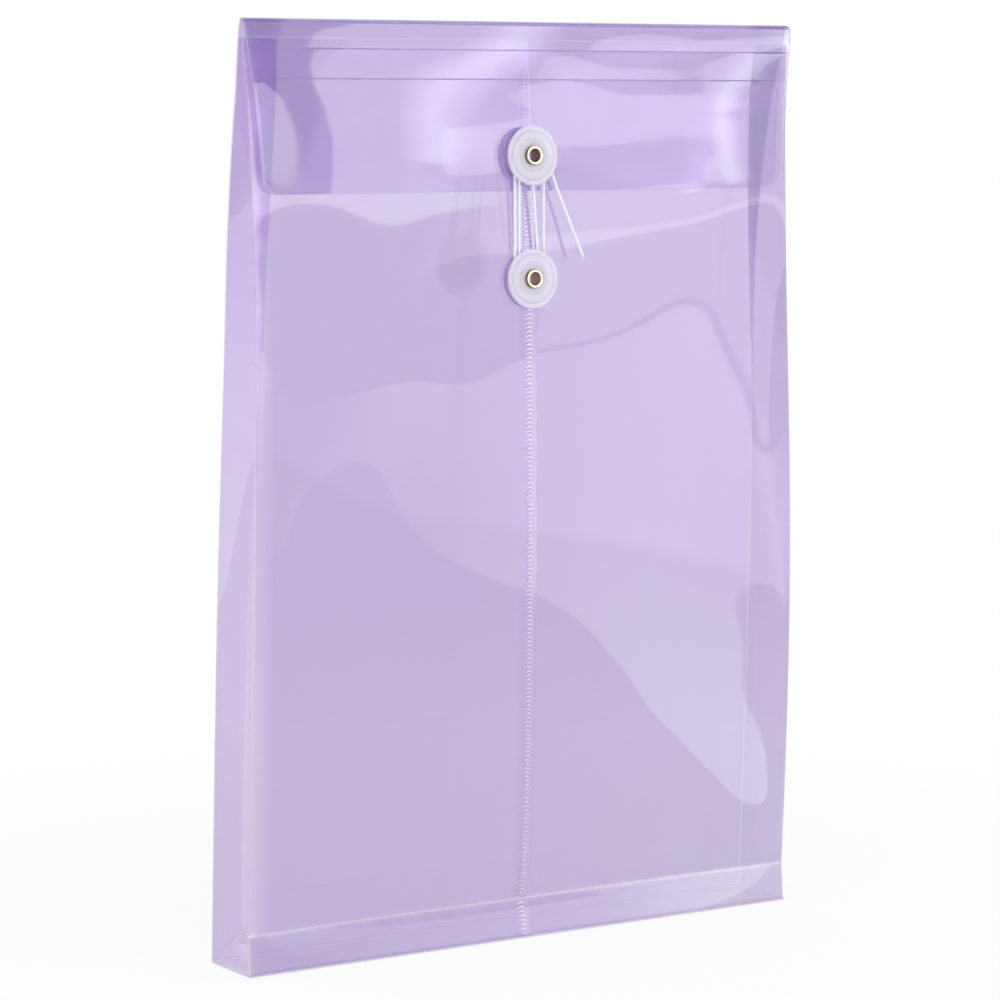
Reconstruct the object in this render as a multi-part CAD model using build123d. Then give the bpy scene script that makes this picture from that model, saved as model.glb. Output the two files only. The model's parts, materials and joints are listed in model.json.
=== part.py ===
from build123d import *
import math
import os

# A see-through plastic envelope that stands on its foot: a folded sheet pocket with gusseted
# sides and a block foot, a flap that folds over its front, and two round buttons with a string
# wound between them. +X runs along the front panel, +Y goes from front to back and +Z is up.
# The origin is on the floor at the middle of the foot. Lengths are in millimetres.

# Sheet
SHEET = 0.45
LAP_GAP = 0.05
SEAT_GAP = 0.15
HINGE_GAP = 0.12

# Pocket
WIDTH = 248.0
HEIGHT = 354.0
DEPTH = 31.0
FOOT_HEIGHT = 15.5
CREASE_SET_BACK = 1.2
FRONT_BULGE = 5.5
KNEE_HEIGHT = 250.0
KNEE_SET_IN = 11.0
MOUTH_DROP = 6.0
GUSSET_TAKE_UP = 0.4
GUSSET_SECTION_SHARES = (0.0, 0.15, 0.35, 0.55, 0.72, 0.86, 0.95, 1.0)
GUSSET_TOE_SHARE = 0.2

# Flap
FOLD_LEAN = 13.0
FOLD_RADIUS = 1.2
FLAP_GAP = 1.2
FLAP_LENGTH = 62.5
FLAP_TAPER = 4.0
FLAP_CORNER = 6.0
ROOT_GAP = 0.4
UPPER_SCORE = 9.5
LOWER_SCORE = 20.5

# Centre seam, welded where the two front panels lap
SEAM_OFFSET = -3.0
LAP_HALF = 3.6
WELD_WIDTH = 3.5
WELD_PITCH = 1.66
WELD_BASE = 0.08
WELD_RISE = 0.25
WELD_END_GAP = 1.0
WELD_TOP_DROP = 15.0

# Buttons, washers and eyelets, measured outwards from the sheet
BUTTON_DROP = 49.3
BUTTON_PITCH = 46.6
BUTTON_RADIUS = 11.3
BUTTON_THICK = 1.1
BUTTON_RIM = 0.35
HUB_RADIUS = 3.2
HUB_HEIGHT = 2.3
RING_RADIUS = 9.4
RING_WIDTH = 0.9
RING_DEPTH = 0.2
BOSS_RADIUS = 6.9
BOSS_RISE = 0.25
BOSS_SLOPE = 0.5
DISH_RADIUS = 4.6
WASHER_THICK = 0.4
EYELET_BORE = 2.35
EYELET_WALL = 0.25
EYELET_FLANGE = 3.7
EYELET_RISE = 1.2
EYELET_EDGE = 0.5
EYELET_BACK = 3.5
EYELET_CURL = 0.5
RUN_FIT = 0.08
RUN_GAP = 0.1

# String
STRING_DIAMETER = 1.3
STRING_FIRST_TURN = 4.1
STRING_HALF_TURN_STEP = 0.95
KNOT_RADIUS = 0.9
KNOT_LENGTH = 2.6
KNOT_SIDE = 0.8
KNOT_GAP = 0.3
KNOT_END_SIDE = 0.9
KNOT_END = (4.2, -11.4)
KNOT_END_RADIUS = 0.55
TAIL_EXIT_ANGLE = 12.5
TAIL_LEAD = 9.0
TAIL_POINTS = ((15.3, -20.7, 1.0), (19.4, -31.5, 2.2), (22.0, -38.4, 3.0))
RUN_SHARE = 0.45

CUT_OVERRUN = 20.0

# Lines that the sheets follow, as (y, z) points of the side view
FOLD_STEP = SHEET + SEAT_GAP
LAP_STEP = SHEET + LAP_GAP
FOLD_AXIS = (-FOLD_LEAN, HEIGHT - FOLD_RADIUS - SHEET / 2)
FLAP_TOP = (FOLD_AXIS[0] - FOLD_RADIUS - LAP_STEP, FOLD_AXIS[1])
FRONT_TOP = (FLAP_TOP[0] + SHEET + FLAP_GAP, FOLD_AXIS[1])
CREASE = (CREASE_SET_BACK + SHEET / 2 - DEPTH / 2, FOOT_HEIGHT)
FOOT_FRONT = (SHEET / 2 - DEPTH / 2, 0)
FOOT_BACK = (DEPTH / 2 - SHEET / 2, 0)
KNEE = (FOOT_BACK[0] - KNEE_SET_IN, KNEE_HEIGHT)
MOUTH_HEIGHT = FOLD_AXIS[1] - MOUTH_DROP
GUSSET_HALF = DEPTH / 2 - GUSSET_TAKE_UP


def bow_through(low, high, sagitta):
    """Centre and radius of the arc from low to high that bulges forward by sagitta."""
    chord = math.dist(low, high)
    radius = (chord**2 / 4 + sagitta**2) / (2 * sagitta)
    along = ((high[0] - low[0]) / chord, (high[1] - low[1]) / chord)
    reach = radius - sagitta
    centre = (
        (low[0] + high[0]) / 2 + along[1] * reach,
        (low[1] + high[1]) / 2 - along[0] * reach,
    )
    return centre, radius


BOW, FRONT_RADIUS = bow_through(CREASE, FRONT_TOP, FRONT_BULGE)
FLAP_RADIUS = FRONT_RADIUS + SHEET + FLAP_GAP


def bow_point(radius, angle):
    """Point of the side view at an angle above level, on an arc about the front's centre."""
    return (BOW[0] - radius * math.cos(angle), BOW[1] + radius * math.sin(angle))


def bow_angle(radius, height):
    return math.asin((height - BOW[1]) / radius)


def flap_angle(drop):
    """Angle of the point that lies this far down the flap from its fold."""
    return bow_angle(FLAP_RADIUS, FLAP_TOP[1]) - drop / FLAP_RADIUS


def back_arc():
    """Centre and radius of the arc that leaves the knee straight and runs into the fold's roll."""
    run = math.dist(FOOT_BACK, KNEE)
    inward = (
        (FOOT_BACK[1] - KNEE[1]) / run,
        (KNEE[0] - FOOT_BACK[0]) / run,
    )
    apart = (KNEE[0] - FOLD_AXIS[0], KNEE[1] - FOLD_AXIS[1])
    along = apart[0] * inward[0] + apart[1] * inward[1]
    radius = (FOLD_RADIUS**2 - apart[0] ** 2 - apart[1] ** 2) / (2 * (along + FOLD_RADIUS))
    return (KNEE[0] + radius * inward[0], KNEE[1] + radius * inward[1]), radius


BACK_CENTRE, BACK_RADIUS = back_arc()


def front_y(height):
    return bow_point(FRONT_RADIUS, bow_angle(FRONT_RADIUS, height))[0]


def back_y(height):
    if height < KNEE[1]:
        return FOOT_BACK[0] - KNEE_SET_IN * height / KNEE_HEIGHT
    return BACK_CENTRE[0] + math.sqrt(BACK_RADIUS**2 - (height - BACK_CENTRE[1]) ** 2)


def middle_y(height):
    return (front_y(height) + back_y(height)) / 2


def crease_inset(height):
    """How far in from the side the gusset's middle crease lies."""
    half_depth = (back_y(height) - front_y(height)) / 2
    return math.sqrt(GUSSET_HALF**2 - half_depth**2)


def across(face, low_x, high_x):
    """Side-view face drawn out along X."""
    return Pos(low_x, 0, 0) * extrude(Plane.YZ * face, amount=high_x - low_x)


def closed_face(*edges):
    return make_face(Curve() + list(edges))


def bowed_face(radius, low_angle, high_angle):
    """Side view of a sheet that follows an arc about the front's centre."""
    outer, inner = radius + SHEET / 2, radius - SHEET / 2
    middle = (low_angle + high_angle) / 2
    return closed_face(
        ThreePointArc(*[bow_point(outer, a) for a in (low_angle, middle, high_angle)]),
        Line(bow_point(outer, high_angle), bow_point(inner, high_angle)),
        ThreePointArc(*[bow_point(inner, a) for a in (high_angle, middle, low_angle)]),
        Line(bow_point(inner, low_angle), bow_point(outer, low_angle)),
    )


def rolled_edge(place):
    """Round edge of a sheet, centred on the crease that it turns about."""
    return Pos(*place) * Circle(SHEET / 2)


def back_panel():
    """Back wall with the roll of the top fold on its upper edge."""
    run = math.dist(FOOT_BACK, KNEE)
    side = (KNEE[1] / run, KNEE_SET_IN / run)
    reach = math.dist(BACK_CENTRE, FOLD_AXIS)
    to_fold = ((FOLD_AXIS[0] - BACK_CENTRE[0]) / reach, (FOLD_AXIS[1] - BACK_CENTRE[1]) / reach)
    crown_angle = (math.atan2(to_fold[1], to_fold[0]) + math.pi) / 2
    crown = (math.cos(crown_angle), math.sin(crown_angle))
    middle = ((side[0] + to_fold[0]) / 2, (side[1] + to_fold[1]) / 2)
    middle_size = math.hypot(*middle)

    def wall(offset):
        foot = (FOOT_BACK[0] + offset, 0)
        knee = (KNEE[0] + side[0] * offset, KNEE[1] + side[1] * offset)
        bend = BACK_RADIUS + offset
        roll = FOLD_RADIUS + offset
        waist = tuple(c + m / middle_size * bend for c, m in zip(BACK_CENTRE, middle))
        top = tuple(c + d * bend for c, d in zip(BACK_CENTRE, to_fold))
        over = tuple(c + d * roll for c, d in zip(FOLD_AXIS, crown))
        end = (FOLD_AXIS[0] - roll, FOLD_AXIS[1])
        edges = [Line(foot, knee), ThreePointArc(knee, waist, top), ThreePointArc(top, over, end)]
        return edges, foot, end

    outer, outer_foot, outer_end = wall(SHEET / 2)
    inner, inner_foot, inner_end = wall(-SHEET / 2)
    face = closed_face(*outer, *inner, Line(outer_end, inner_end), Line(inner_foot, outer_foot))
    return across(face, -WIDTH / 2, WIDTH / 2)


def front_panel(low_x, high_x, set_in):
    """One half of the front wall, from its crease to the mouth."""
    radius = FRONT_RADIUS - set_in
    low = bow_angle(FRONT_RADIUS, FOOT_HEIGHT)
    face = bowed_face(radius, low, bow_angle(radius, MOUTH_HEIGHT))
    face += rolled_edge(bow_point(radius, low))
    return across(face, low_x, high_x)


def foot_strip(low_x, high_x, set_in):
    """Front of the foot, between the floor and the front crease."""
    half = SHEET / 2
    top = FOOT_HEIGHT - half - HINGE_GAP
    lean = CREASE_SET_BACK * top / FOOT_HEIGHT
    foot = FOOT_FRONT[0] + set_in
    face = make_face(
        Polyline(
            (foot - half, 0),
            (foot + half, 0),
            (foot + half + lean, top),
            (foot - half + lean, top),
            close=True,
        )
    )
    return across(face, low_x, high_x)


def bottom_panel():
    """Floor of the pocket, held between the four walls of the foot."""
    side_gap = SHEET + FOLD_STEP
    front = SHEET + LAP_STEP + SEAT_GAP - DEPTH / 2
    back = DEPTH / 2 - FOLD_STEP
    plate = Box(WIDTH - 2 * side_gap, back - front, SHEET)
    return Pos(0, (front + back) / 2, SHEET / 2) * plate


def thin_section(start, end, height):
    """Level slice through a sheet that runs from start to end."""
    run = math.dist(start, end)
    side = ((start[1] - end[1]) / run * SHEET / 2, (end[0] - start[0]) / run * SHEET / 2)
    corners = [
        (start[0] + side[0], start[1] + side[1], height),
        (end[0] + side[0], end[1] + side[1], height),
        (end[0] - side[0], end[1] - side[1], height),
        (start[0] - side[0], start[1] - side[1], height),
    ]
    return make_face(Polyline(*corners, close=True))


def crease_x(side, height):
    return side * (WIDTH / 2 - crease_inset(height))


def gusset_heights(low):
    return [low + share * (MOUTH_HEIGHT - low) for share in GUSSET_SECTION_SHARES]


def gusset_front(side, set_in):
    """Front half of a side gusset, folded in from the front panel's edge to the middle crease."""
    edge_x = side * (WIDTH / 2 - SHEET / 2)
    sections = [
        thin_section(
            (edge_x, front_y(height) + FOLD_STEP + set_in),
            (crease_x(side, height), middle_y(height) - FOLD_STEP / 2),
            height,
        )
        for height in gusset_heights(FOOT_HEIGHT + HINGE_GAP)
    ]
    return loft(sections, ruled=True)


def gusset_back(side):
    """Back half of a side gusset, down to its point at the back corner of the foot."""
    edge_x = side * (WIDTH / 2 - SHEET / 2)
    toe = FOOT_HEIGHT * GUSSET_TOE_SHARE
    heel = DEPTH / 2 - FOLD_STEP
    toe_x = side * (WIDTH / 2 - crease_inset(FOOT_HEIGHT) * GUSSET_TOE_SHARE)
    toe_y = heel + (middle_y(FOOT_HEIGHT) - heel) * GUSSET_TOE_SHARE + FOLD_STEP
    sections = [thin_section((edge_x, back_y(toe) - FOLD_STEP), (toe_x, toe_y), toe)]
    sections += [
        thin_section(
            (edge_x, back_y(height) - FOLD_STEP),
            (crease_x(side, height), middle_y(height) + FOLD_STEP / 2),
            height,
        )
        for height in gusset_heights(FOOT_HEIGHT)
    ]
    return loft(sections, ruled=True)


def gusset_foot(side, set_in):
    """Flat corner of the foot below the gusset, in two facets that meet on a diagonal."""
    edge_x = side * WIDTH / 2
    top = FOOT_HEIGHT - HINGE_GAP
    front = (edge_x, FOLD_STEP + set_in - DEPTH / 2, 0)
    crease_end = (edge_x, CREASE[0] + SHEET / 2 + SEAT_GAP + set_in, top)
    apex = (crease_x(side, FOOT_HEIGHT), middle_y(FOOT_HEIGHT), top)
    back = (edge_x, DEPTH / 2 - FOLD_STEP, 0)
    lower = make_face(Polyline(front, back, apex, close=True))
    upper = make_face(Polyline(front, apex, crease_end, close=True))
    inward = (-side, 0, 0)
    return extrude(lower, amount=SHEET, dir=inward) + extrude(upper, amount=SHEET, dir=inward)


def flap_outline():
    """Front view of the flap, tapered towards its round lower corners, as a cutter through Y."""
    top = FLAP_TOP[1] + CUT_OVERRUN
    bottom = bow_point(FLAP_RADIUS, flap_angle(FLAP_LENGTH))[1]
    slope = FLAP_TAPER / (FLAP_TOP[1] - bottom)
    low_half = WIDTH / 2 - FLAP_TAPER
    top_half = WIDTH / 2 + slope * CUT_OVERRUN
    face = make_face(
        Polyline((-top_half, top), (top_half, top), (low_half, bottom), (-low_half, bottom), close=True)
    )
    face = fillet(face.vertices().sort_by(Axis.Y)[:2], FLAP_CORNER)
    return extrude(Plane.XZ * face, amount=DEPTH + CUT_OVERRUN, both=True)


def flap_strip(top_drop, bottom_drop, rolled):
    """Stretch of the flap between two of its creases."""
    face = bowed_face(FLAP_RADIUS, flap_angle(bottom_drop), flap_angle(top_drop))
    if rolled:
        face += rolled_edge(bow_point(FLAP_RADIUS, flap_angle(top_drop)))
    return across(face, -WIDTH / 2, WIDTH / 2) & flap_outline()


def button_plane(radius, angle):
    """Plane on the outer face of a sheet, facing out, where a button is set."""
    place = bow_point(radius + SHEET / 2, angle)
    outward = (0, -math.cos(angle), math.sin(angle))
    return Plane(origin=(SEAM_OFFSET, *place), x_dir=(1, 0, 0), z_dir=outward)


FLAP_PLANE = button_plane(FLAP_RADIUS, flap_angle(BUTTON_DROP))
LOWER_HEIGHT = FLAP_PLANE.origin.Z - BUTTON_PITCH
POCKET_PLANE = button_plane(FRONT_RADIUS, bow_angle(FRONT_RADIUS, LOWER_HEIGHT))
BARREL_RADIUS = EYELET_BORE + EYELET_WALL
HUB_LOW = WASHER_THICK + RUN_GAP
DISC_LOW = HUB_LOW + HUB_HEIGHT
DISC_TOP = DISC_LOW + BUTTON_THICK


def turned(plane, *edges):
    """Solid turned about a button's axis from its half section."""
    return plane.location * revolve(Plane.XZ * closed_face(*edges), axis=Axis.Z)


def polygon_edges(points):
    return [Line(a, b) for a, b in zip(points, points[1:] + points[:1])]


def button(plane):
    """Moulded disc with a ring, a raised boss and the hub that the string winds on."""
    bore = BARREL_RADIUS + RUN_FIT
    points = [
        (bore, HUB_LOW),
        (HUB_RADIUS, HUB_LOW),
        (HUB_RADIUS, DISC_LOW),
        (BUTTON_RADIUS - BUTTON_RIM, DISC_LOW),
        (BUTTON_RADIUS, DISC_LOW + BUTTON_RIM),
        (BUTTON_RADIUS, DISC_TOP - BUTTON_RIM),
        (BUTTON_RADIUS - BUTTON_RIM, DISC_TOP),
        (RING_RADIUS + RING_WIDTH / 2, DISC_TOP),
        (RING_RADIUS, DISC_TOP - RING_DEPTH),
        (RING_RADIUS - RING_WIDTH / 2, DISC_TOP),
        (BOSS_RADIUS + BOSS_SLOPE, DISC_TOP),
        (BOSS_RADIUS, DISC_TOP + BOSS_RISE),
        (DISH_RADIUS + BOSS_SLOPE, DISC_TOP + BOSS_RISE),
        (DISH_RADIUS, DISC_TOP),
        (bore, DISC_TOP),
    ]
    return turned(plane, *polygon_edges(points))


def washer(plane):
    """Reinforcing disc between the sheet and the button."""
    points = [
        (BARREL_RADIUS + LAP_GAP, LAP_GAP),
        (BUTTON_RADIUS, LAP_GAP),
        (BUTTON_RADIUS, WASHER_THICK),
        (BARREL_RADIUS + LAP_GAP, WASHER_THICK),
    ]
    return turned(plane, *polygon_edges(points))


def eyelet(plane, grip):
    """Rolled eyelet that holds a button, its washer and the sheet behind them."""
    seat = DISC_TOP + RUN_GAP
    crown = seat + EYELET_RISE
    edge = seat + EYELET_EDGE
    back = -grip - LAP_GAP
    tip = back - EYELET_CURL
    rim = (EYELET_BORE + EYELET_FLANGE) / 2
    return turned(
        plane,
        Line((EYELET_BORE, tip), (EYELET_BORE, edge)),
        ThreePointArc((EYELET_BORE, edge), (rim, crown), (EYELET_FLANGE, edge)),
        Line((EYELET_FLANGE, edge), (EYELET_FLANGE, seat)),
        Line((EYELET_FLANGE, seat), (BARREL_RADIUS, seat)),
        Line((BARREL_RADIUS, seat), (BARREL_RADIUS, back)),
        Line((BARREL_RADIUS, back), (EYELET_BACK, back)),
        Line((EYELET_BACK, back), (EYELET_BORE, tip)),
    )


def eyelet_hole(plane):
    return plane.location * Cylinder(BARREL_RADIUS + LAP_GAP, CUT_OVERRUN)


def weld_strip(points_out, points_in):
    """Ribbed strip along the seam, between its outer and its inner line."""
    face = make_face(Polyline(*points_out, *reversed(points_in), close=True))
    return across(face, SEAM_OFFSET - WELD_WIDTH / 2, SEAM_OFFSET + WELD_WIDTH / 2)


def ribs(length):
    """Distance along a weld and height above the sheet, for each corner of its ribs."""
    count = int(length / WELD_PITCH)
    pitch = length / count
    for k in range(count):
        yield k * pitch, WELD_BASE
        yield (k + 1 / 2) * pitch, WELD_RISE
    yield length, WELD_BASE


def front_welds():
    """Ribbed weld down the front lap, in two lengths, below and above the pocket's button."""
    face_radius = FRONT_RADIUS + SHEET / 2 + LAP_GAP
    low = bow_angle(FRONT_RADIUS, FOOT_HEIGHT + WELD_END_GAP)
    high = bow_angle(FRONT_RADIUS, FOLD_AXIS[1] - WELD_TOP_DROP)
    corners = list(ribs((high - low) * face_radius))
    points_out = [bow_point(face_radius + rise, low + run / face_radius) for run, rise in corners]
    points_in = [bow_point(face_radius, low + run / face_radius) for run, rise in corners]
    strip = weld_strip(points_out, points_in)
    strip -= POCKET_PLANE.location * Cylinder(BUTTON_RADIUS + SEAT_GAP, CUT_OVERRUN)
    return strip.solids().sort_by(Axis.Z)


def foot_weld():
    """The same weld carried down the front of the foot."""
    top = FOOT_HEIGHT - SHEET / 2 - HINGE_GAP
    slope = CREASE_SET_BACK / FOOT_HEIGHT
    low = WELD_END_GAP
    corners = list(ribs(top - 2 * low))
    skin = FOOT_FRONT[0] - SHEET / 2 - LAP_GAP
    points_out = [(skin + (low + run) * slope - rise, low + run) for run, rise in corners]
    points_in = [(skin + (low + run) * slope, low + run) for run, rise in corners]
    return weld_strip(points_out, points_in)


def hub_middle(plane):
    return plane.from_local_coords((0, 0, (WASHER_THICK + DISC_LOW) / 2))


def string_plane():
    """Plane of the winding, through the middle of both hubs, with its origin at the upper one."""
    upper, lower = hub_middle(FLAP_PLANE), hub_middle(POCKET_PLANE)
    rise = upper - lower
    outward = Vector(1, 0, 0).cross(rise).normalized()
    return Plane(origin=upper, x_dir=(1, 0, 0), z_dir=outward), rise.length


STRING_PLANE, HUB_SPAN = string_plane()


def placed(point):
    return STRING_PLANE.from_local_coords(point)


def turn_arc(centre, radius, from_angle, to_angle):
    """Arc of a turn about a hub, clockwise as seen from the front."""
    angles = (from_angle, (from_angle + to_angle) / 2, to_angle)
    points = [(centre[0] + radius * math.cos(a), centre[1] + radius * math.sin(a), 0) for a in angles]
    return ThreePointArc(*[placed(point) for point in points])


def knot_line():
    """Start of the string below the upper hub, and where it meets the first turn."""
    start = (KNOT_SIDE, -HUB_RADIUS - KNOT_GAP - KNOT_LENGTH)
    first, second = STRING_FIRST_TURN, STRING_FIRST_TURN + STRING_HALF_TURN_STEP
    centre, radius = ((first - second) / 2, -HUB_SPAN), (first + second) / 2
    away = (start[0] - centre[0], start[1] - centre[1])
    meet = math.atan2(away[1], away[0]) - math.acos(radius / math.hypot(*away))
    touch = (centre[0] + radius * math.cos(meet), centre[1] + radius * math.sin(meet))
    return start, touch, centre, radius, meet


def string_path():
    """Route of the string: down to the lower hub, two turns round both hubs, then its free tail."""
    start, touch, centre, radius, meet = knot_line()
    edges = [Line(placed(start), placed(touch)), turn_arc(centre, radius, meet, -math.pi)]
    reach = [STRING_FIRST_TURN + k * STRING_HALF_TURN_STEP for k in range(5)]
    exit_angle = math.radians(TAIL_EXIT_ANGLE)
    for k in (1, 2, 3):
        upper = k % 2 == 1
        side = -1 if upper else 1
        low, high = (-HUB_SPAN, 0) if upper else (0, -HUB_SPAN)
        edges.append(Line(placed((side * reach[k], low)), placed((side * reach[k], high))))
        centre = (side * (reach[k] - reach[k + 1]) / 2, high)
        radius = (reach[k] + reach[k + 1]) / 2
        begin, end = (math.pi, 0) if upper else (0, -math.pi)
        end = exit_angle if k == 3 else end
        edges.append(turn_arc(centre, radius, begin, end))
    leave = (centre[0] + radius * math.cos(exit_angle), centre[1] + radius * math.sin(exit_angle), 0)
    lead = (leave[0] + TAIL_LEAD * math.sin(exit_angle), leave[1] - TAIL_LEAD * math.cos(exit_angle), 0)
    tail = [placed(point) for point in (leave, lead, *TAIL_POINTS)]
    radii = bend_radii(tail)
    print("string tail bend radii", [round(r, 1) for r in radii])
    print("string turn radii", [round(r, 2) for r in reach])
    edges += FilletPolyline(*tail, radius=radii).edges()
    return Wire(edges)


def bend_radii(points):
    """Radius at each inner point of a route: as large as its two runs allow."""
    radii = []
    for a, b, c in zip(points, points[1:], points[2:]):
        turn = math.radians((b - a).get_angle(c - b))
        radii.append(RUN_SHARE * min((b - a).length, (c - b).length) / math.tan(turn / 2))
    return radii


def least_gap(path):
    """Least space between two stretches of the string that aren't neighbours along it."""
    count = int(path.length / (STRING_DIAMETER / 2))
    points = [path @ (k / count) for k in range(count + 1)]
    apart = int(4 * STRING_DIAMETER / (path.length / count))
    pairs = ((points[i] - points[j]).length for i in range(count + 1) for j in range(i + apart, count + 1))
    return min(pairs) - STRING_DIAMETER


def string():
    path = string_path()
    section = Plane(origin=path @ 0, z_dir=path % 0) * Circle(STRING_DIAMETER / 2)
    tube = sweep(section, path=path)
    expected = math.pi * STRING_DIAMETER**2 / 4 * path.length
    print("string length", round(path.length, 2), "volume share", round(tube.volume / expected, 5))
    print("string least gap to itself", round(least_gap(path), 3))
    return tube


def string_knot():
    """Knot that ties the string below the upper hub, with its short cut end."""
    start, touch = knot_line()[:2]
    base = placed(start)
    upward = (placed(start) - placed(touch)).normalized()
    plane = Plane(origin=base, z_dir=upward)
    waist = (KNOT_RADIUS, KNOT_LENGTH / 2)
    tie = STRING_DIAMETER / 2
    body = turned(
        plane,
        Line((0, 0), (tie, 0)),
        ThreePointArc((tie, 0), waist, (tie, KNOT_LENGTH)),
        Line((tie, KNOT_LENGTH), (0, KNOT_LENGTH)),
        Line((0, KNOT_LENGTH), (0, 0)),
    )
    flank = base + upward * (KNOT_LENGTH / 2) + Vector(KNOT_END_SIDE, 0, 0)
    tip = placed(KNOT_END)
    stub = Plane(origin=flank, z_dir=tip - flank) * Circle(KNOT_END_RADIUS)
    return body + extrude(stub, amount=(tip - flank).length)


def build():
    """All pieces by name."""
    lap_left, lap_right = SEAM_OFFSET - LAP_HALF, SEAM_OFFSET + LAP_HALF
    flap_hole, pocket_hole = eyelet_hole(FLAP_PLANE), eyelet_hole(POCKET_PLANE)
    score_gap = SHEET / 2 + HINGE_GAP
    lower_weld, upper_weld = front_welds()
    pieces = {
        "back_panel": back_panel(),
        "bottom_panel": bottom_panel(),
        "left_foot_strip": foot_strip(-WIDTH / 2, lap_right, 0),
        "right_foot_strip": foot_strip(lap_left, WIDTH / 2, LAP_STEP),
        "foot_weld": foot_weld(),
        "left_front_panel": front_panel(-WIDTH / 2, lap_right, 0) - pocket_hole,
        "right_front_panel": front_panel(lap_left, WIDTH / 2, LAP_STEP) - pocket_hole,
        "lower_weld": lower_weld,
        "upper_weld": upper_weld,
        "flap_root_strip": flap_strip(ROOT_GAP, UPPER_SCORE - score_gap, False),
        "flap_middle_strip": flap_strip(UPPER_SCORE, LOWER_SCORE - score_gap, True),
        "flap_tongue": flap_strip(LOWER_SCORE, FLAP_LENGTH, True) - flap_hole,
        "flap_washer": washer(FLAP_PLANE),
        "flap_button": button(FLAP_PLANE),
        "flap_eyelet": eyelet(FLAP_PLANE, SHEET),
        "pocket_washer": washer(POCKET_PLANE),
        "pocket_button": button(POCKET_PLANE),
        "pocket_eyelet": eyelet(POCKET_PLANE, SHEET + LAP_STEP),
        "string": string(),
        "string_knot": string_knot(),
    }
    for name, side, set_in in (("left", -1, 0), ("right", 1, LAP_STEP)):
        pieces[f"{name}_gusset_front"] = gusset_front(side, set_in)
        pieces[f"{name}_gusset_back"] = gusset_back(side)
        pieces[f"{name}_gusset_foot"] = gusset_foot(side, set_in)
    return pieces


os.makedirs("parts", exist_ok=True)
for name, piece in build().items():
    export_step(piece, f"parts/{name}.step")
print("fold axis", FOLD_AXIS, "crease axis", CREASE)
print("score axes", [bow_point(FLAP_RADIUS, flap_angle(drop)) for drop in (UPPER_SCORE, LOWER_SCORE)])
print("button axes", FLAP_PLANE.origin, FLAP_PLANE.z_dir, POCKET_PLANE.origin, POCKET_PLANE.z_dir)
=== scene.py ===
# %% [markdown]
# A string tie envelope stands upright on its foot. Everything is drawn in metres in the imported model's own
# frame, so the first step loads that frame.

# %% Load the frame
import json
import math
import random

import bmesh
import bpy
import numpy as np
from mathutils import Matrix, Quaternion, Vector


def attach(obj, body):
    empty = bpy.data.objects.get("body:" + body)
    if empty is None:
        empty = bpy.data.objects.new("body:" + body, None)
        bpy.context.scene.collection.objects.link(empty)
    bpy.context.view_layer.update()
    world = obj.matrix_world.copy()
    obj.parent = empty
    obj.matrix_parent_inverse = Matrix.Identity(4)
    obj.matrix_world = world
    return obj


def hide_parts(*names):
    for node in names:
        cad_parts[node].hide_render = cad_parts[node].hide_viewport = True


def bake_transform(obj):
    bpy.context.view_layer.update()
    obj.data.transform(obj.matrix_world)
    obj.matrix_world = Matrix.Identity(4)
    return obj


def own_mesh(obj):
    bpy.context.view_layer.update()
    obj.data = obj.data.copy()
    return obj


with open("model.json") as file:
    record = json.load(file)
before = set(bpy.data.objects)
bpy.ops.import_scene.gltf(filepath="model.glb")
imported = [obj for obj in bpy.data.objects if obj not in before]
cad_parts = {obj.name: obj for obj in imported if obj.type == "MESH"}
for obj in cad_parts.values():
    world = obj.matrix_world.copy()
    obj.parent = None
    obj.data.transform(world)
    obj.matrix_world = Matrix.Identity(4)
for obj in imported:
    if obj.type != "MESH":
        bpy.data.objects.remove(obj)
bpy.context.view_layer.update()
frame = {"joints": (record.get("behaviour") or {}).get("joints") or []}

MM = 0.001
joints = {joint["name"]: joint for joint in frame["joints"]}

# %% [markdown]
# The camera was matched to the photograph's corners: it stands to the left of the front, a little above
# the flap, with a long lens. A square picture of 1000 pixels and a 36 mm sensor give the lens from the
# focal length in pixels.

# %% Camera
FOCAL_PIXELS, PICTURE_PIXELS, SENSOR = 3640, 1000, 36
CAMERA_PLACE = Vector((-768, -1176, 322)) * MM
CAMERA_TURN, CAMERA_TILT = math.radians(33.01), math.radians(-6.17)

camera = bpy.data.objects.new("camera", bpy.data.cameras.new("camera"))
bpy.context.collection.objects.link(camera)
camera.location = CAMERA_PLACE
camera.rotation_euler = (math.pi / 2 + CAMERA_TILT, 0, -CAMERA_TURN)
camera.data.sensor_width = SENSOR
camera.data.lens = SENSOR * FOCAL_PIXELS / PICTURE_PIXELS
camera.data.clip_end = 50
bpy.context.scene.camera = camera
print("lens", round(camera.data.lens, 2), "mm")

# %% [markdown]
# The sheets follow a few lines of the side view, the same as in the solid model: the front is one long
# arc from the crease above the foot to the mouth, the back goes up straight and then bends forward to
# the top fold, and the flap is an arc just in front of the front panel. A real envelope doesn't stand
# quite true, so a slight twist brings its left side forward and takes its right side back.

# %% Lines of the side view
HALF_WIDTH = 124 * MM
SHEET = 0.45 * MM
LAP_STEP = 0.5 * MM
CREASE_Y, CREASE_Z = -14.075 * MM, 15.5 * MM
FOLD_Y, FOLD_Z, FOLD_RADIUS = -13.0 * MM, 352.575 * MM, 1.2 * MM
FLAP_STEP = 1.65 * MM
FLAP_TOP_Y = FOLD_Y - FOLD_RADIUS - LAP_STEP
BULGE = 5.5 * MM
MOUTH_Z = FOLD_Z - 6 * MM
FOOT_HALF = 15.5 * MM
KNEE_Y, KNEE_Z = 4.275 * MM, 250 * MM
GUSSET_TAKE_UP = 0.4 * MM
TWIST, TWIST_HEIGHT, TWIST_REACH = 3.8 * MM, 265 * MM, 95 * MM


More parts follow.
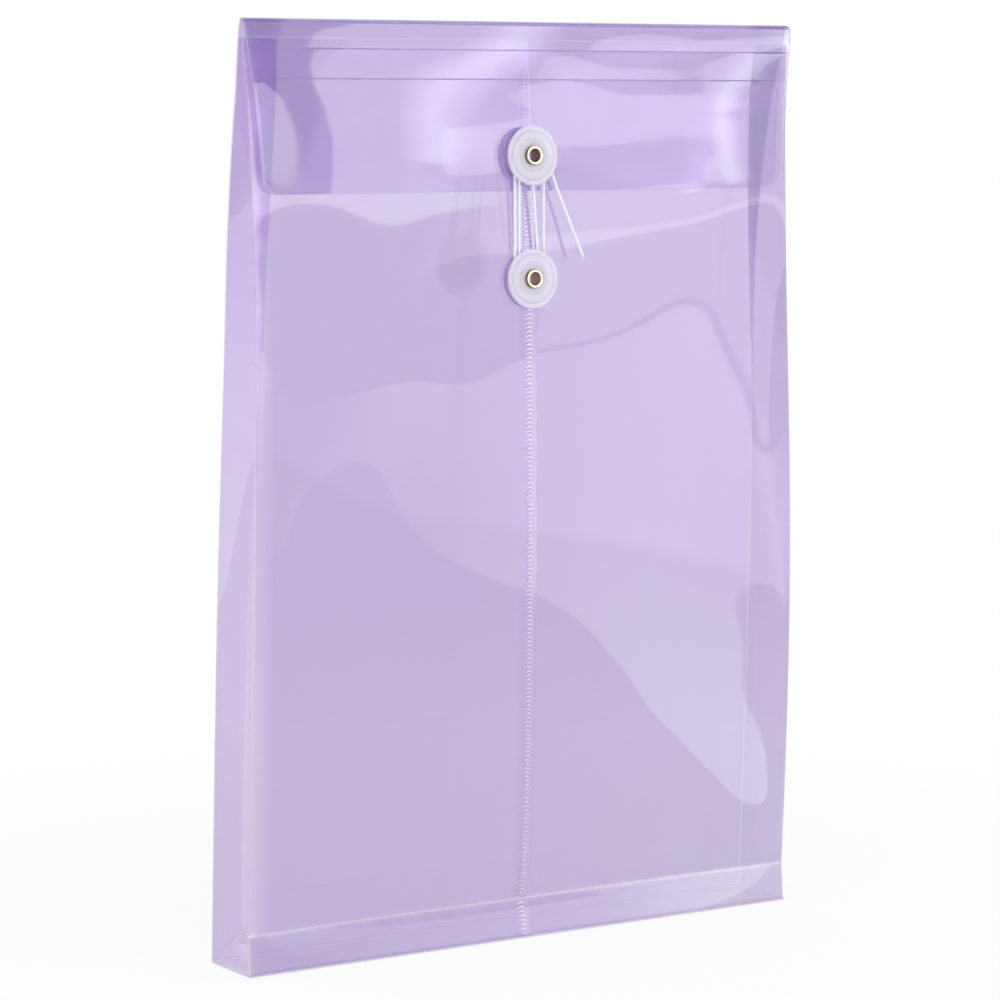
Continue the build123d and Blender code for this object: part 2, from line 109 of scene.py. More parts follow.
def arc_through(low, high, bulge):
    """Centre and radius of the arc from low to high that bulges towards the viewer."""
    chord = math.dist(low, high)
    radius = (chord**2 / 4 + bulge**2) / (2 * bulge)
    reach = (radius - bulge) / chord
    middle = ((low[0] + high[0]) / 2, (low[1] + high[1]) / 2)
    return (middle[0] + (high[1] - low[1]) * reach, middle[1] - (high[0] - low[0]) * reach), radius


BOW, FRONT_RADIUS = arc_through((CREASE_Y, CREASE_Z), (FLAP_TOP_Y + FLAP_STEP, FOLD_Z), BULGE)
FLAP_RADIUS = FRONT_RADIUS + FLAP_STEP
BACK_FOOT_Y = FOOT_HALF - SHEET / 2
BACK_SLOPE = (BACK_FOOT_Y - KNEE_Y) / KNEE_Z


def back_bend():
    """Centre and radius of the arc that carries on from the knee and runs into the top fold."""
    size = math.hypot(1, BACK_SLOPE)
    inward = (-1 / size, -BACK_SLOPE / size)
    apart = (KNEE_Y - FOLD_Y, KNEE_Z - FOLD_Z)
    along = apart[0] * inward[0] + apart[1] * inward[1]
    radius = (FOLD_RADIUS**2 - apart[0] ** 2 - apart[1] ** 2) / (2 * (along + FOLD_RADIUS))
    return (KNEE_Y + radius * inward[0], KNEE_Z + radius * inward[1]), radius


BACK_CENTRE, BACK_RADIUS = back_bend()


def smooth(low, high, value):
    share = min(max((value - low) / (high - low), 0), 1)
    return share * share * (3 - 2 * share)


def twist(x, z):
    """Set of the whole pocket: forward on the left, back on the right, most of it near the flap."""
    swell = math.exp(-(((z - TWIST_HEIGHT) / TWIST_REACH) ** 2))
    return TWIST * x / HALF_WIDTH * swell * (1 - smooth(325 * MM, 354 * MM, z)) * smooth(0, 60 * MM, z)


def front_line(z):
    return BOW[0] - math.sqrt(FRONT_RADIUS**2 - (z - BOW[1]) ** 2)


def back_line(z):
    if z < KNEE_Z:
        return BACK_FOOT_Y - BACK_SLOPE * z
    return BACK_CENTRE[0] + math.sqrt(BACK_RADIUS**2 - (z - BACK_CENTRE[1]) ** 2)


def crease_inset(z):
    """How far in from the side the gusset's middle crease lies at this height."""
    half_depth = (back_line(z) - front_line(z)) / 2
    return math.sqrt((FOOT_HALF - GUSSET_TAKE_UP) ** 2 - half_depth**2)


print("front radius", round(FRONT_RADIUS, 3), "m, back bend radius", round(BACK_RADIUS, 3), "m")

# %% [markdown]
# Thin plastic is never flat. Its shallow hollows and swells, a millimetre or so deep, are what bend the
# reflections into hills and streaks, so they are real shape here. The lamps of a later step stand on one
# upright board, and the edge of a reflection lies where the sheet mirrors the edge of a lamp towards the
# camera. The functions of this step follow a ray from the camera to the sheet and on to the board, for
# many places at once and in millimetres. Then they lift the knots of a net, round by round, until the
# edges are mirrored where they are wanted, and keep the sheet as smooth as they can.

# %% Mirror
BOARD_WAY = Vector((0.552, -0.834, 0)).normalized()
BOARD_SIDE = Vector((-BOARD_WAY.y, BOARD_WAY.x, 0))
BOARD_AWAY = 800
LOW_BOX, FLAP_BAND, FLAP_BOX_LEFT = (6, 186), (350, 400), -96
SIDEWAYS, UPWARDS = 0, 1
ROUNDS, TIP = 40, 1e-4


def mirrored(x, z, y, across, up):
    """Where a sheet at these places and with these slopes mirrors the board: sideways and upwards."""
    spot = np.stack([x, y, z], -1)
    ray = spot - np.array(CAMERA_PLACE) / MM
    ray /= np.linalg.norm(ray, axis=-1, keepdims=True)
    normal = np.stack([across, -np.ones_like(across), up], -1)
    normal /= np.linalg.norm(normal, axis=-1, keepdims=True)
    ray -= 2 * (ray * normal).sum(-1, keepdims=True) * normal
    reach = (BOARD_AWAY - spot @ np.array(BOARD_WAY)) / (ray @ np.array(BOARD_WAY))
    seen = spot + reach[:, None] * ray
    return seen @ np.array(BOARD_SIDE), seen[:, 2]


def sample(x, z, plain, humps, step):
    """Heights and slopes of the plain sheet, and of every hump of its net, at these places."""

    def slope(height, dx, dz):
        return (height(x + dx, z + dz) - height(x - dx, z - dz)) / (2 * step)

    return x, z, [(f(x, z), slope(f, step, 0), slope(f, 0, step)) for f in (plain, humps)]


def bend_rows(knots):
    """Second differences along the rows of a net, which a smooth sheet keeps small."""
    return (knots[:, 2:] - 2 * knots[:, 1:-1] + knots[:, :-2]).reshape(-1, knots.shape[-1])


def settle(wishes, still, slopes, stride):
    """Heights of a net's knots. A wish has samples, a way on the board, the least and most seen there, and a
    weight, and the rows of still keep the net smooth and low."""
    heights = np.zeros(still.shape[1])
    for _ in range(ROUNDS):
        rows, ends = [still], [np.zeros(len(still))]
        for (x, z, (plain, humps)), way, least, most, weight in wishes:
            lay = [flat + lift @ heights for flat, lift in zip(plain, humps)]
            seen = mirrored(x, z, *lay)[way]
            change = 0
            for k in slopes:
                tipped = [value + TIP * (k == n) for n, value in enumerate(lay)]
                change = change + ((mirrored(x, z, *tipped)[way] - seen) / TIP)[:, None] * humps[k]
            want = np.clip(seen, least, most)
            off = want != seen
            rows.append(weight * change[off])
            ends.append(weight * (want - seen + change @ heights)[off])
        best = np.linalg.lstsq(np.vstack(rows), np.hstack(ends), rcond=None)[0]
        heights += stride * (best - heights)
    return heights


print("board", BOARD_AWAY, "mm away, low box from", LOW_BOX[0], "to", LOW_BOX[1], "mm up")

# %% [markdown]
# The front panel mirrors a low lamp as a pale band. Its upper and lower edge are two lines given in
# millimetres across and up the panel. The panel's net has a knot every 20 mm across and 24 mm up, and a
# smooth hump at each knot joins them into one surface. The back wall has a few single swells, each with a
# centre, a width, a height and a depth. All of them die out towards the stiff edges.

# %% Swells of the sheet
SEAM_X = -3 * MM
NET_ACROSS, NET_UP, NET_LEFT, NET_LOW = 20 * MM, 24 * MM, -120 * MM, 24 * MM
NET_ROWS, NET_COLUMNS = 12, 13
HELD_SIDES, STIFF_SIDES = 12, 28
UPPER_EDGE = [
    (-124, 262), (-119, 241), (-113, 222), (-107, 215), (-95, 213), (-82, 216), (-64, 221), (-53, 219),
    (-42, 216), (-30, 217), (-15, 224), (-3, 228), (12, 229), (40, 234), (54, 237), (66, 246), (74, 250),
    (80, 246), (86, 234), (96, 214), (106, 186), (112, 150), (117, 100), (121, 50), (124, 30),
]
LOWER_EDGE = [
    (-124, 40), (-121, 80), (-119, 120), (-116, 150), (-110, 162), (-99, 181), (-92, 192), (-86, 196),
    (-82, 196), (-76, 192), (-71, 187), (-62, 170), (-47, 156), (-29, 146), (-15, 141), (-3, 137), (12, 130),
    (31, 115), (42, 101), (50, 90), (62, 76), (80, 59), (100, 46), (118, 36), (124, 28),
]
EDGE_ROOM, BOARD_ROOM = 5, 20
LINE_WEIGHT, ZONE_WEIGHT, LOW_WEIGHT, BUTTON_WEIGHT = 1 / 12, 0.02, 0.9, 20
BACK_SWELLS = [
    (-60, 200, 55, 60, 0.7), (50, 160, 50, 60, -0.9), (-30, 90, 60, 40, 0.6), (90, 270, 40, 45, 0.6),
]
CREASE_PINCH, PINCH_REACH = 2.2 * MM, 9 * MM


def hump(t):
    """Smooth hump over one knot of a net, which reaches as far as the second knot on either side."""
    t = abs(t)
    if t < 1:
        return (4 - 6 * t**2 + 3 * t**3) / 6
    return (2 - t) ** 3 / 6 if t < 2 else 0


def near_knots(place, knots):
    """The knots whose humps reach a place, by number."""
    return range(max(0, math.ceil(place - 2)), min(len(knots), math.floor(place + 2) + 1))


def net_fade(x, z, sides):
    """A net dies out towards the sides, more steeply with a higher power, and at the crease and the flap."""
    ends = smooth(CREASE_Z, CREASE_Z + 14 * MM, z) * (1 - smooth(288 * MM, 330 * MM, z))
    return (1 - (x / HALF_WIDTH) ** sides) * ends


def net_height(x, z):
    total = 0
    across, up = (x - NET_LEFT) / NET_ACROSS, (z - NET_LOW) / NET_UP
    for row in near_knots(up, FRONT_NET):
        for column in near_knots(across, FRONT_NET[0]):
            total += FRONT_NET[row][column] * hump(up - row) * hump(across - column)
    return total * MM * net_fade(x, z, STIFF_SIDES)


def back_swell(x, z):
    total = 0
    for centre_x, centre_z, wide, high, depth in BACK_SWELLS:
        reach = ((x / MM - centre_x) / wide) ** 2 + ((z / MM - centre_z) / high) ** 2
        total += depth * MM * math.exp(-reach)
    return total


def crease_valley(x, z):
    """The front crease is pinched back between the corners of the foot."""
    middle = 1 - (x / HALF_WIDTH) ** 4
    return CREASE_PINCH * middle * math.exp(-abs(z - CREASE_Z) / PINCH_REACH)


def front_place(x, z, set_in):
    return Vector((x, front_line(z) + set_in + twist(x, z) + net_height(x, z) + crease_valley(x, z), z))


def knot_humps(places, count):
    """Height of each of a row of humps at many places, counted in knots."""
    return np.vectorize(hump, otypes=[float])(places[:, None] - np.arange(count))


def across_humps(x):
    return knot_humps((x * MM - NET_LEFT) / NET_ACROSS, NET_COLUMNS)


def front_humps(x, z):
    up = knot_humps((z * MM - NET_LOW) / NET_UP, NET_ROWS)
    fade = np.vectorize(net_fade, otypes=[float])(x * MM, z * MM, HELD_SIDES)
    return (up[:, :, None] * across_humps(x)[:, None]).reshape(len(x), -1) * fade[:, None]


@np.vectorize
def plain_front(x, z):
    return (front_line(z * MM) + twist(x * MM, z * MM) + crease_valley(x * MM, z * MM)) / MM


def grid(xs, zs):
    return [values.ravel() for values in np.meshgrid(xs, zs)]


def front_sample(x, z):
    return sample(x, z, plain_front, front_humps, 0.2)


def edge_up(edge, x):
    return np.interp(x, *zip(*edge))


print("pale band between lines of", len(UPPER_EDGE), "and", len(LOWER_EDGE), "points")

# %% [markdown]
# Now the front's net is worked out. Along the two lines the sheet has to mirror the edges of the low box.
# Between, below and above them it keeps well inside or outside the box, and round the lower button it is
# held flat.

# %% Front net
wishes = []
for edge, wanted, x in (
    (LOWER_EDGE, LOW_BOX[0], np.arange(-115, 111, 2.0)),
    (UPPER_EDGE, LOW_BOX[1], np.arange(-117, 110, 2.0)),
):
    wishes.append((front_sample(x, edge_up(edge, x)), UPWARDS, wanted, wanted, LINE_WEIGHT))
x, z = grid(np.arange(-117, 112, 3.0), np.arange(18, 300, 4.0))
under, over = z < edge_up(LOWER_EDGE, x) - EDGE_ROOM, z > edge_up(UPPER_EDGE, x) + EDGE_ROOM
between = (z > edge_up(LOWER_EDGE, x) + EDGE_ROOM) & (z < edge_up(UPPER_EDGE, x) - EDGE_ROOM)
least = np.select([between, over], [LOW_BOX[0] + BOARD_ROOM, LOW_BOX[1] + BOARD_ROOM], -np.inf)
most = np.select([under, between], [LOW_BOX[0] - BOARD_ROOM, LOW_BOX[1] - BOARD_ROOM], np.inf)
wishes.append((front_sample(x, z), UPWARDS, least, most, ZONE_WEIGHT))
knots = np.eye(NET_ROWS * NET_COLUMNS).reshape(NET_ROWS, NET_COLUMNS, -1)
round_button = front_humps(*grid(np.arange(-15, 10, 4.0), np.arange(244, 271, 4.0)))
bends = [bend_rows(knots), bend_rows(knots.swapaxes(0, 1))]
still = np.vstack([*bends, LOW_WEIGHT * np.eye(knots.shape[-1]), BUTTON_WEIGHT * round_button])
front_heights = settle(wishes, still, slopes=(2,), stride=0.3)
FRONT_NET = front_heights.round(2).reshape(NET_ROWS, NET_COLUMNS).tolist()
print("net of", len(FRONT_NET), "by", len(FRONT_NET[0]), "heights,", len(BACK_SWELLS), "swells on the back")

# %% [markdown]
# Materials come next, each named for the real one. One helper adds a node, sets its values and links it,
# and one turns a colour written in hex into the linear numbers that a shader takes.

# %% Material helpers


def colour(text):
    """Linear colour, with alpha, of an sRGB hex text."""
    parts = [int(text[k : k + 2], 16) / 255 for k in (1, 3, 5)]
    return [c / 12.92 if c <= 0.04045 else ((c + 0.055) / 1.055) ** 2.4 for c in parts] + [1]


def add(tree, kind, values=(), links=(), **settings):
    made = tree.nodes.new(kind)
    for key, value in settings.items():
        setattr(made, key, value)
    for key, value in dict(values).items():
        made.inputs[key].default_value = value
    for key, source in dict(links).items():
        tree.links.new(source, made.inputs[key])
    return made


def blend(tree, value, factor, plus):
    """Value times a factor, plus a number or another value."""
    made = add(tree, "ShaderNodeMath", {1: factor}, {0: value}, operation="MULTIPLY_ADD")
    if isinstance(plus, (int, float)):
        made.inputs[2].default_value = plus
    else:
        tree.links.new(plus, made.inputs[2])
    return made.outputs["Value"]


def new_material(name):
    material = bpy.data.materials.new(name)
    material.use_nodes = True
    material.node_tree.nodes.clear()
    return material, material.node_tree


print("lilac in linear numbers", [round(c, 3) for c in colour("#ECE7F4")])

# %% [markdown]
# The sheet is glossy, see-through polypropylene. Light goes through each face a little tinted, so that
# every extra layer deepens the lilac. A small share, more at a grazing angle, comes back from the outer
# skin as gloss. Two numbers on each point change it. Along a crease the plastic is stressed, so it lets
# less through and gives back a paler, softer shine; the same number also puts a painted highlight at the
# left end of the front crease. Where it was scored or pressed, its depth of colour differs, and low on the
# front and at the foot's right end a lower depth lightens the sheet as painted light.

# %% Sheet material


def sheet_material(name, tint, gloss, crease_white, haze=0.0):
    material, tree = new_material(name)
    place = add(tree, "ShaderNodeTexCoord").outputs["Object"]
    cloud = add(tree, "ShaderNodeTexNoise", {"Scale": 1 / (60 * MM), "Detail": 2}, {"Vector": place})
    drift = add(tree, "ShaderNodeTexNoise", {"Scale": 1 / (14 * MM), "Detail": 1}, {"Vector": place})
    ripple = {"Strength": 0.5, "Distance": 0.01 * MM}
    wave = add(tree, "ShaderNodeBump", ripple, {"Height": drift.outputs["Fac"]})
    angle = add(tree, "ShaderNodeLayerWeight", {"Blend": 0.5}, {"Normal": wave.outputs["Normal"]})
    grazing = add(tree, "ShaderNodeMath", {1: 5}, {0: angle.outputs["Facing"]}, operation="POWER")
    shine = blend(tree, grazing.outputs["Value"], 1 - gloss, gloss)
    inside = add(tree, "ShaderNodeNewGeometry").outputs["Backfacing"]
    outer = blend(tree, inside, -1, 1)
    share = add(tree, "ShaderNodeMath", {2: haze}, {0: shine, 1: outer}, operation="MULTIPLY_ADD")
    # The crease number also carries a painted highlight at one corner, and the depth number lightens some
    # places as painted light.
    crease = add(tree, "ShaderNodeAttribute", attribute_name="crease").outputs["Fac"]
    range_of_polish = {"To Min": 0.015, "To Max": 0.05}
    polish = add(tree, "ShaderNodeMapRange", range_of_polish, {"Value": cloud.outputs["Fac"]})
    depth = add(tree, "ShaderNodeAttribute", attribute_name="depth").outputs["Fac"]
    deep = add(tree, "ShaderNodeGamma", {"Color": colour(tint)}, {"Gamma": blend(tree, depth, 1, 1)})
    clear = add(tree, "ShaderNodeBsdfTransparent", links={"Color": deep.outputs["Color"]})
    skin = add(
        tree, "ShaderNodeBsdfPrincipled", {"Base Color": colour("#F6F6F4"), "Metallic": 0.8},
        {"Roughness": blend(tree, crease, 0.5, polish.outputs["Result"]), "Normal": wave.outputs["Normal"]},
    )
    total = blend(tree, crease, crease_white, share.outputs["Value"])
    both = {0: total, 1: clear.outputs["BSDF"], 2: skin.outputs["BSDF"]}
    mix = add(tree, "ShaderNodeMixShader", links=both)
    add(tree, "ShaderNodeOutputMaterial", links={"Surface": mix.outputs["Shader"]})
    return material


SHEET_TINT, GLOSS, CREASE_WHITE = "#ECE7F4", 0.08, 0.34
sheet_plastic = sheet_material("lilac_polypropylene", SHEET_TINT, GLOSS, CREASE_WHITE)
gusset_back_plastic = sheet_material("lilac_polypropylene_gusset", "#F6F2FB", GLOSS, CREASE_WHITE)
gusset_front_plastic = sheet_material("lilac_polypropylene_stretched", "#FCF8FF", GLOSS, CREASE_WHITE)
fold_edge = sheet_material("lilac_polypropylene_fold", "#FCFAFE", 0, CREASE_WHITE)
cut_edge = sheet_material("lilac_polypropylene_cut_edge", "#D9CBEC", GLOSS, CREASE_WHITE, 0.05)
print("sheet materials", sheet_plastic.name, cut_edge.name)

# %% [markdown]
# A sheet is a grid of points, placed by a function and then given its thickness by a Solidify modifier,
# whose rim takes the second material: clear where the sheet goes on round a fold, darker where it is cut.
# The grid is closer near its edges and creases, so that their shading stays narrow.

# %% Sheet builder


def new_piece(name, bm, *materials):
    """Object at the origin with the faces of a bmesh and these materials."""
    mesh = bpy.data.meshes.new(name)
    bm.to_mesh(mesh)
    bm.free()
    for material in materials:
        mesh.materials.append(material)
    made = bpy.data.objects.new(name, mesh)
    bpy.context.collection.objects.link(made)
    return made


def steps(start, end, pitch, edge=0.3 * MM):
    """Values from start to end about one pitch apart, with one more close to each end."""
    sign = 1 if end > start else -1
    count = max(2, round(abs(end - start) / pitch))
    inner = [start + (end - start) * k / count for k in range(1, count)]
    return [start, start + sign * edge, *inner, end - sign * edge, end]


def sheet(name, us, vs, place, crease, materials, depth=None):
    bm = bmesh.new()
    bmesh.ops.create_grid(bm, x_segments=len(us) - 1, y_segments=len(vs) - 1, size=1)
    white, deep = bm.verts.layers.float.new("crease"), bm.verts.layers.float.new("depth")
    for vert in bm.verts:
        u = us[round((vert.co.x + 1) / 2 * (len(us) - 1))]
        v = vs[round((vert.co.y + 1) / 2 * (len(vs) - 1))]
        vert.co = place(u, v)
        vert[white] = crease(u, v)
        vert[deep] = depth(u, v) if depth else 0
    for face in bm.faces:
        face.smooth = True
    made = new_piece(name, bm, *materials)
    thick = made.modifiers.new("thickness", "SOLIDIFY")
    thick.thickness, thick.offset, thick.material_offset_rim = SHEET, 0, 1
    return made


def line_white(distance, half=0.5 * MM):
    """Whitening that falls from 1 on a crease to 0 at half its width."""
    return max(0, 1 - abs(distance) / half)


print("sheet", round(SHEET / MM, 2), "mm thick")

# %% [markdown]
# The back wall is one sheet from the foot to the end of the roll at the top fold. Its place is measured
# along its length, so the straight stretch, the bend and the tight roll follow each other.

# %% Back wall
BACK_FOOT_Z = 1.0 * MM
to_fold = Vector((FOLD_Y - BACK_CENTRE[0], FOLD_Z - BACK_CENTRE[1]))
BEND_START = math.atan2(KNEE_Z - BACK_CENTRE[1], KNEE_Y - BACK_CENTRE[0])
BEND_END = math.atan2(to_fold.y, to_fold.x)
BEND_LENGTH = BACK_RADIUS * (BEND_END - BEND_START)
STRAIGHT_LENGTH = (KNEE_Z - BACK_FOOT_Z) * math.hypot(1, BACK_SLOPE)
ROLL_LENGTH = FOLD_RADIUS * (math.pi - BEND_END)


def back_place(x, run):
    if run < STRAIGHT_LENGTH:
        z = BACK_FOOT_Z + run / math.hypot(1, BACK_SLOPE)
        y = back_line(z)
    elif run < STRAIGHT_LENGTH + BEND_LENGTH:
        angle = BEND_START + (run - STRAIGHT_LENGTH) / BACK_RADIUS
        y, z = (c + BACK_RADIUS * f(angle) for c, f in zip(BACK_CENTRE, (math.cos, math.sin)))
    else:
        angle = BEND_END + (run - STRAIGHT_LENGTH - BEND_LENGTH) / FOLD_RADIUS
        y, z = FOLD_Y + FOLD_RADIUS * math.cos(angle), FOLD_Z + FOLD_RADIUS * math.sin(angle)
    edge = 1 - (x / HALF_WIDTH) ** 6
    wave = back_swell(x, z) * edge * smooth(0, 40 * MM, z) * (1 - smooth(300 * MM, 345 * MM, z))
    return Vector((x, y + twist(x, z) + wave, z))


columns = steps(-HALF_WIDTH, HALF_WIDTH, 4 * MM)
wall_length = STRAIGHT_LENGTH + BEND_LENGTH
rows = steps(0, wall_length, 5 * MM) + [wall_length + ROLL_LENGTH * k / 8 for k in range(1, 9)]


def back_white(x, run):
    return max(0.3 * line_white(HALF_WIDTH + x), 0.2 * line_white(run))


def tuck_depth(x, run):
    """Next to the fold, the ends of the gussets are pressed into the back wall and deepen its colour."""
    return 0.8 * smooth(wall_length - 9 * MM, wall_length - 5 * MM, run) * smooth(106 * MM, 109 * MM, abs(x))


FOLDED, CUT = (sheet_plastic, fold_edge), (sheet_plastic, cut_edge)
back_wall = sheet(
    "back_wall", columns, rows, back_place, back_white, FOLDED,
    lambda x, run: smooth(wall_length, wall_length + ROLL_LENGTH / 2, run) + tuck_depth(x, run),
)
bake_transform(back_wall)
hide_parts("back_panel")
print("back wall", len(back_wall.data.vertices), "points,", round(wall_length / MM), "mm long")

# %% [markdown]
# The foot is a shallow box: a floor with rounded front and back edges, the two lapped strips in front,
# and at each side a flat corner whose two facets meet on a diagonal fold.

# %% Foot
EDGE_RADIUS = 0.9 * MM
foot_front_y = SHEET / 2 - FOOT_HALF
floor_z = SHEET / 2


def floor_place(x, run):
    """Across the floor from its back edge to its front edge, both turned up in a small round."""
    quarter = EDGE_RADIUS * math.pi / 2
    flat = 2 * (FOOT_HALF - SHEET / 2 - EDGE_RADIUS)
    if run < quarter:
        angle = run / EDGE_RADIUS
        y = BACK_FOOT_Y - EDGE_RADIUS * (1 - math.cos(angle))
        z = floor_z + EDGE_RADIUS * (1 - math.sin(angle))
    elif run < quarter + flat:
        y, z = BACK_FOOT_Y - EDGE_RADIUS - (run - quarter), floor_z
    else:
        angle = (run - quarter - flat) / EDGE_RADIUS
        y = foot_front_y + EDGE_RADIUS * (1 - math.sin(angle))
        z = floor_z + EDGE_RADIUS * (1 - math.cos(angle))
    return Vector((x, y, z))


floor_length = EDGE_RADIUS * math.pi + 2 * (FOOT_HALF - SHEET / 2 - EDGE_RADIUS)
quarter_runs = [EDGE_RADIUS * math.pi / 2 * k / 5 for k in range(6)]
floor_rows = quarter_runs + steps(quarter_runs[-1], floor_length - quarter_runs[-1], 4 * MM)[1:-1]
floor_rows += [floor_length - run for run in reversed(quarter_runs)]
floor_sheet = sheet(
    "foot_floor", columns, floor_rows, floor_place,
    lambda x, run: 0.4 * line_white(run - floor_length + quarter_runs[2]), FOLDED,
)
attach(floor_sheet, "pocket_back")
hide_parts("bottom_panel")


def strip_place(x, z, set_in):
    lean = (CREASE_Y - foot_front_y) * z / CREASE_Z
    pinch = crease_valley(x, z) - crease_valley(x, 0) * (1 - z / CREASE_Z)
    return Vector((x, foot_front_y + lean + set_in + pinch, z))


def lapped(set_in, *functions):
    """The same functions of a place, for the outer or the under layer of the lap."""
    return [lambda x, z, f=f: f(x, z, set_in) for f in functions]


LAP_HALF = 3.6 * MM
LAP_LEFT, LAP_RIGHT = SEAM_X - LAP_HALF, SEAM_X + LAP_HALF
left_columns = steps(-HALF_WIDTH, LAP_RIGHT, 4 * MM)
right_columns = sorted(steps(LAP_LEFT, HALF_WIDTH, 4 * MM) + [LAP_RIGHT - 0.2 * MM, LAP_RIGHT + 0.2 * MM])
strip_rows = steps(floor_z + EDGE_RADIUS, CREASE_Z, 1.6 * MM)


def lap_depth(x, set_in):
    """The welded lap is pressed thin, so its under layer deepens the colour only a little."""
    return -0.9 if set_in and x < LAP_RIGHT else 0


def lap_white(x, set_in):
    """The outer layer's edge shows as a pale line."""
    return 0 if set_in else 0.6 * line_white(LAP_RIGHT - x, 0.4 * MM)


def strip_depth_and_painted_light(x, z, set_in):
    """The foot is deeper in colour along its bottom fold, and lighter towards its right end as a painted
    highlight.
    """
    painted_highlight = 0.6 * smooth(10 * MM, 105 * MM, x)
    return lap_depth(x, set_in) + 0.5 * line_white(z - strip_rows[0], 1 * MM) - painted_highlight


def strip_white(x, z, set_in):
    crease, side = line_white(z - CREASE_Z, 0.4 * MM), line_white(HALF_WIDTH + x)
    return max(0.8 * crease, 0.6 * side, lap_white(x, set_in))


for name, across, set_in, node in (
    ("left_foot_front", left_columns, 0, "left_foot_strip"),
    ("right_foot_front", right_columns, LAP_STEP, "right_foot_strip"),
):
    place, white, depth = lapped(set_in, strip_place, strip_white, strip_depth_and_painted_light)
    strip = sheet(name, across, strip_rows, place, white, FOLDED, depth)
    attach(strip, "pocket_back")
    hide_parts(node)
    print(name, len(strip.data.vertices), "points")

# %% [markdown]
# Each side gusset is folded in along a middle crease, which runs deeper towards the mouth. Its back half
# belongs to the back of the pocket.

# %% Gussets
GUSSET_BOW, GUSSET_TURN = 0.5 * MM, 6.2 * MM


def middle_point(side, z):
    y = (front_line(z) + back_line(z)) / 2 + twist(side * HALF_WIDTH, z)
    return Vector((side * (HALF_WIDTH - crease_inset(z)), y, z))


def front_edge(side, z):
    return front_place(side * HALF_WIDTH, z, SHEET)


def back_edge(side, z):
    return Vector((side * HALF_WIDTH, back_line(z) - SHEET + twist(side * HALF_WIDTH, z), z))


def gusset_bow(share):
    """A folded panel bows a little between its creases."""
    return GUSSET_BOW * math.sin(math.pi * share)


def foot_apex(side):
    return middle_point(side, CREASE_Z)


gusset_shares = [0, 0.02, 0.05] + [k / 10 for k in range(1, 10)] + [0.95, 0.98, 1]
for side, label, front_plastic, back_plastic, white, deeper in (
    (-1, "left", gusset_front_plastic, gusset_back_plastic, 1, 1),
    (1, "right", sheet_plastic, sheet_plastic, 0, 0.3),
):

    def top_depth(share, z, deeper=deeper):
        """Towards the mouth a gusset is deeper in colour, most on the left."""
        return deeper * smooth(150 * MM, 300 * MM, z)

    def front_half(share, z, side=side):
        spot = front_edge(side, z).lerp(middle_point(side, z), share)
        return spot + Vector((-side * gusset_bow(share), 0, 0))

    def back_half(share, z, side=side):
        inner = middle_point(side, z)
        if z < CREASE_Z:
            inner = back_edge(side, 0).lerp(foot_apex(side), z / CREASE_Z)
        spot = back_edge(side, z).lerp(inner, share)
        return spot + Vector((-side * gusset_bow(share) * smooth(0, 30 * MM, z), 0, 0))

    front = sheet(
        f"{label}_gusset_front_half", gusset_shares, steps(CREASE_Z, MOUTH_Z, 5 * MM), front_half,
        lambda share, z, w=white: w * max(0.5 if share in (0, 1) else 0, 0.7 * line_white(z - CREASE_Z)),
        (front_plastic, fold_edge), top_depth,
    )
    side_x = side * HALF_WIDTH
    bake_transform(front)
    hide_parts(f"{label}_gusset_front")
    heights = [0.3 * MM, 2 * MM, 5 * MM, 9 * MM, 13 * MM] + steps(CREASE_Z, MOUTH_Z, 5 * MM)
    back = sheet(
        f"{label}_gusset_back_half", gusset_shares, heights, back_half,
        lambda share, z, w=white: w * (0.5 if share in (0, 1) else 0), (back_plastic, fold_edge), top_depth,
    )
    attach(back, "pocket_back")
    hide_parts(f"{label}_gusset_back")

    corner_front = Vector((side_x, foot_front_y + SHEET, floor_z))
    corner_back = back_edge(side, 0) + Vector((0, 0, floor_z))
    crease_end = Vector((side_x, CREASE_Y + SHEET, CREASE_Z))

    def foot_facets(share, rise, side=side, a=corner_front, b=corner_back, c=crease_end):
        bottom = a.lerp(b, share)
        top = c.lerp(foot_apex(side), min(share * 2, 1))
        if share > 0.5:
            top = foot_apex(side).lerp(b, (share - 0.5) * 2)
        return bottom.lerp(top, rise)

    facet_shares = [k / 16 for k in range(17)]
    corner = sheet(
        f"{label}_foot_corner", facet_shares, [k / 8 for k in range(8)] + [0.97, 1], foot_facets,
        lambda share, rise, w=white: w * (0.8 if rise in (0, 1) or share == 0 else 0),
        (back_plastic, fold_edge),
    )
    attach(corner, "pocket_back")
    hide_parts(f"{label}_gusset_foot")
    print(label, "gusset", len(front.data.vertices) + len(back.data.vertices), "points")

# %% [markdown]
# The front is two panels, the left lapped over the right along the middle and welded there.

# %% Front panels
front_rows = steps(CREASE_Z, MOUTH_Z, 4 * MM)
front_rows = sorted(front_rows + [CREASE_Z + k * MM for k in (0.8, 1.5, 2.5)])


def front_white_and_painted_highlight(x, z, set_in):
    # The bright spot where the crease meets the left side is a painted highlight.
    corner = 2.4 * (1 - math.hypot(HALF_WIDTH + x, z - CREASE_Z) / (1.5 * MM))
    lines = 0.8 * line_white(z - CREASE_Z, 0.9 * MM), 0.4 * line_white(HALF_WIDTH + x), lap_white(x, set_in)
    return max(corner, *lines)


def front_depth_and_painted_light(x, z, set_in):
    """Lighter towards the crease, most on the right, as a painted reflection, and lighter along its left
    edge.
    """
    low = (0.24 + 0.08 * x / HALF_WIDTH) * (1 - smooth(40 * MM, 170 * MM, z))
    left = 0.35 * (1 - smooth(3 * MM, 9 * MM, HALF_WIDTH + x))
    return lap_depth(x, set_in) or -low - left


for name, across, set_in, node in (
    ("left_front", left_columns, 0, "left_front_panel"),
    ("right_front", right_columns, LAP_STEP, "right_front_panel"),
):
    place, white, depth = lapped(set_in, front_place, front_white_and_painted_highlight, front_depth_and_painted_light)
    panel = sheet(name, across, front_rows, place, white, FOLDED, depth)
    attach(panel, "pocket_front")
    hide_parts(node)
    print(name, len(panel.data.vertices), "points")
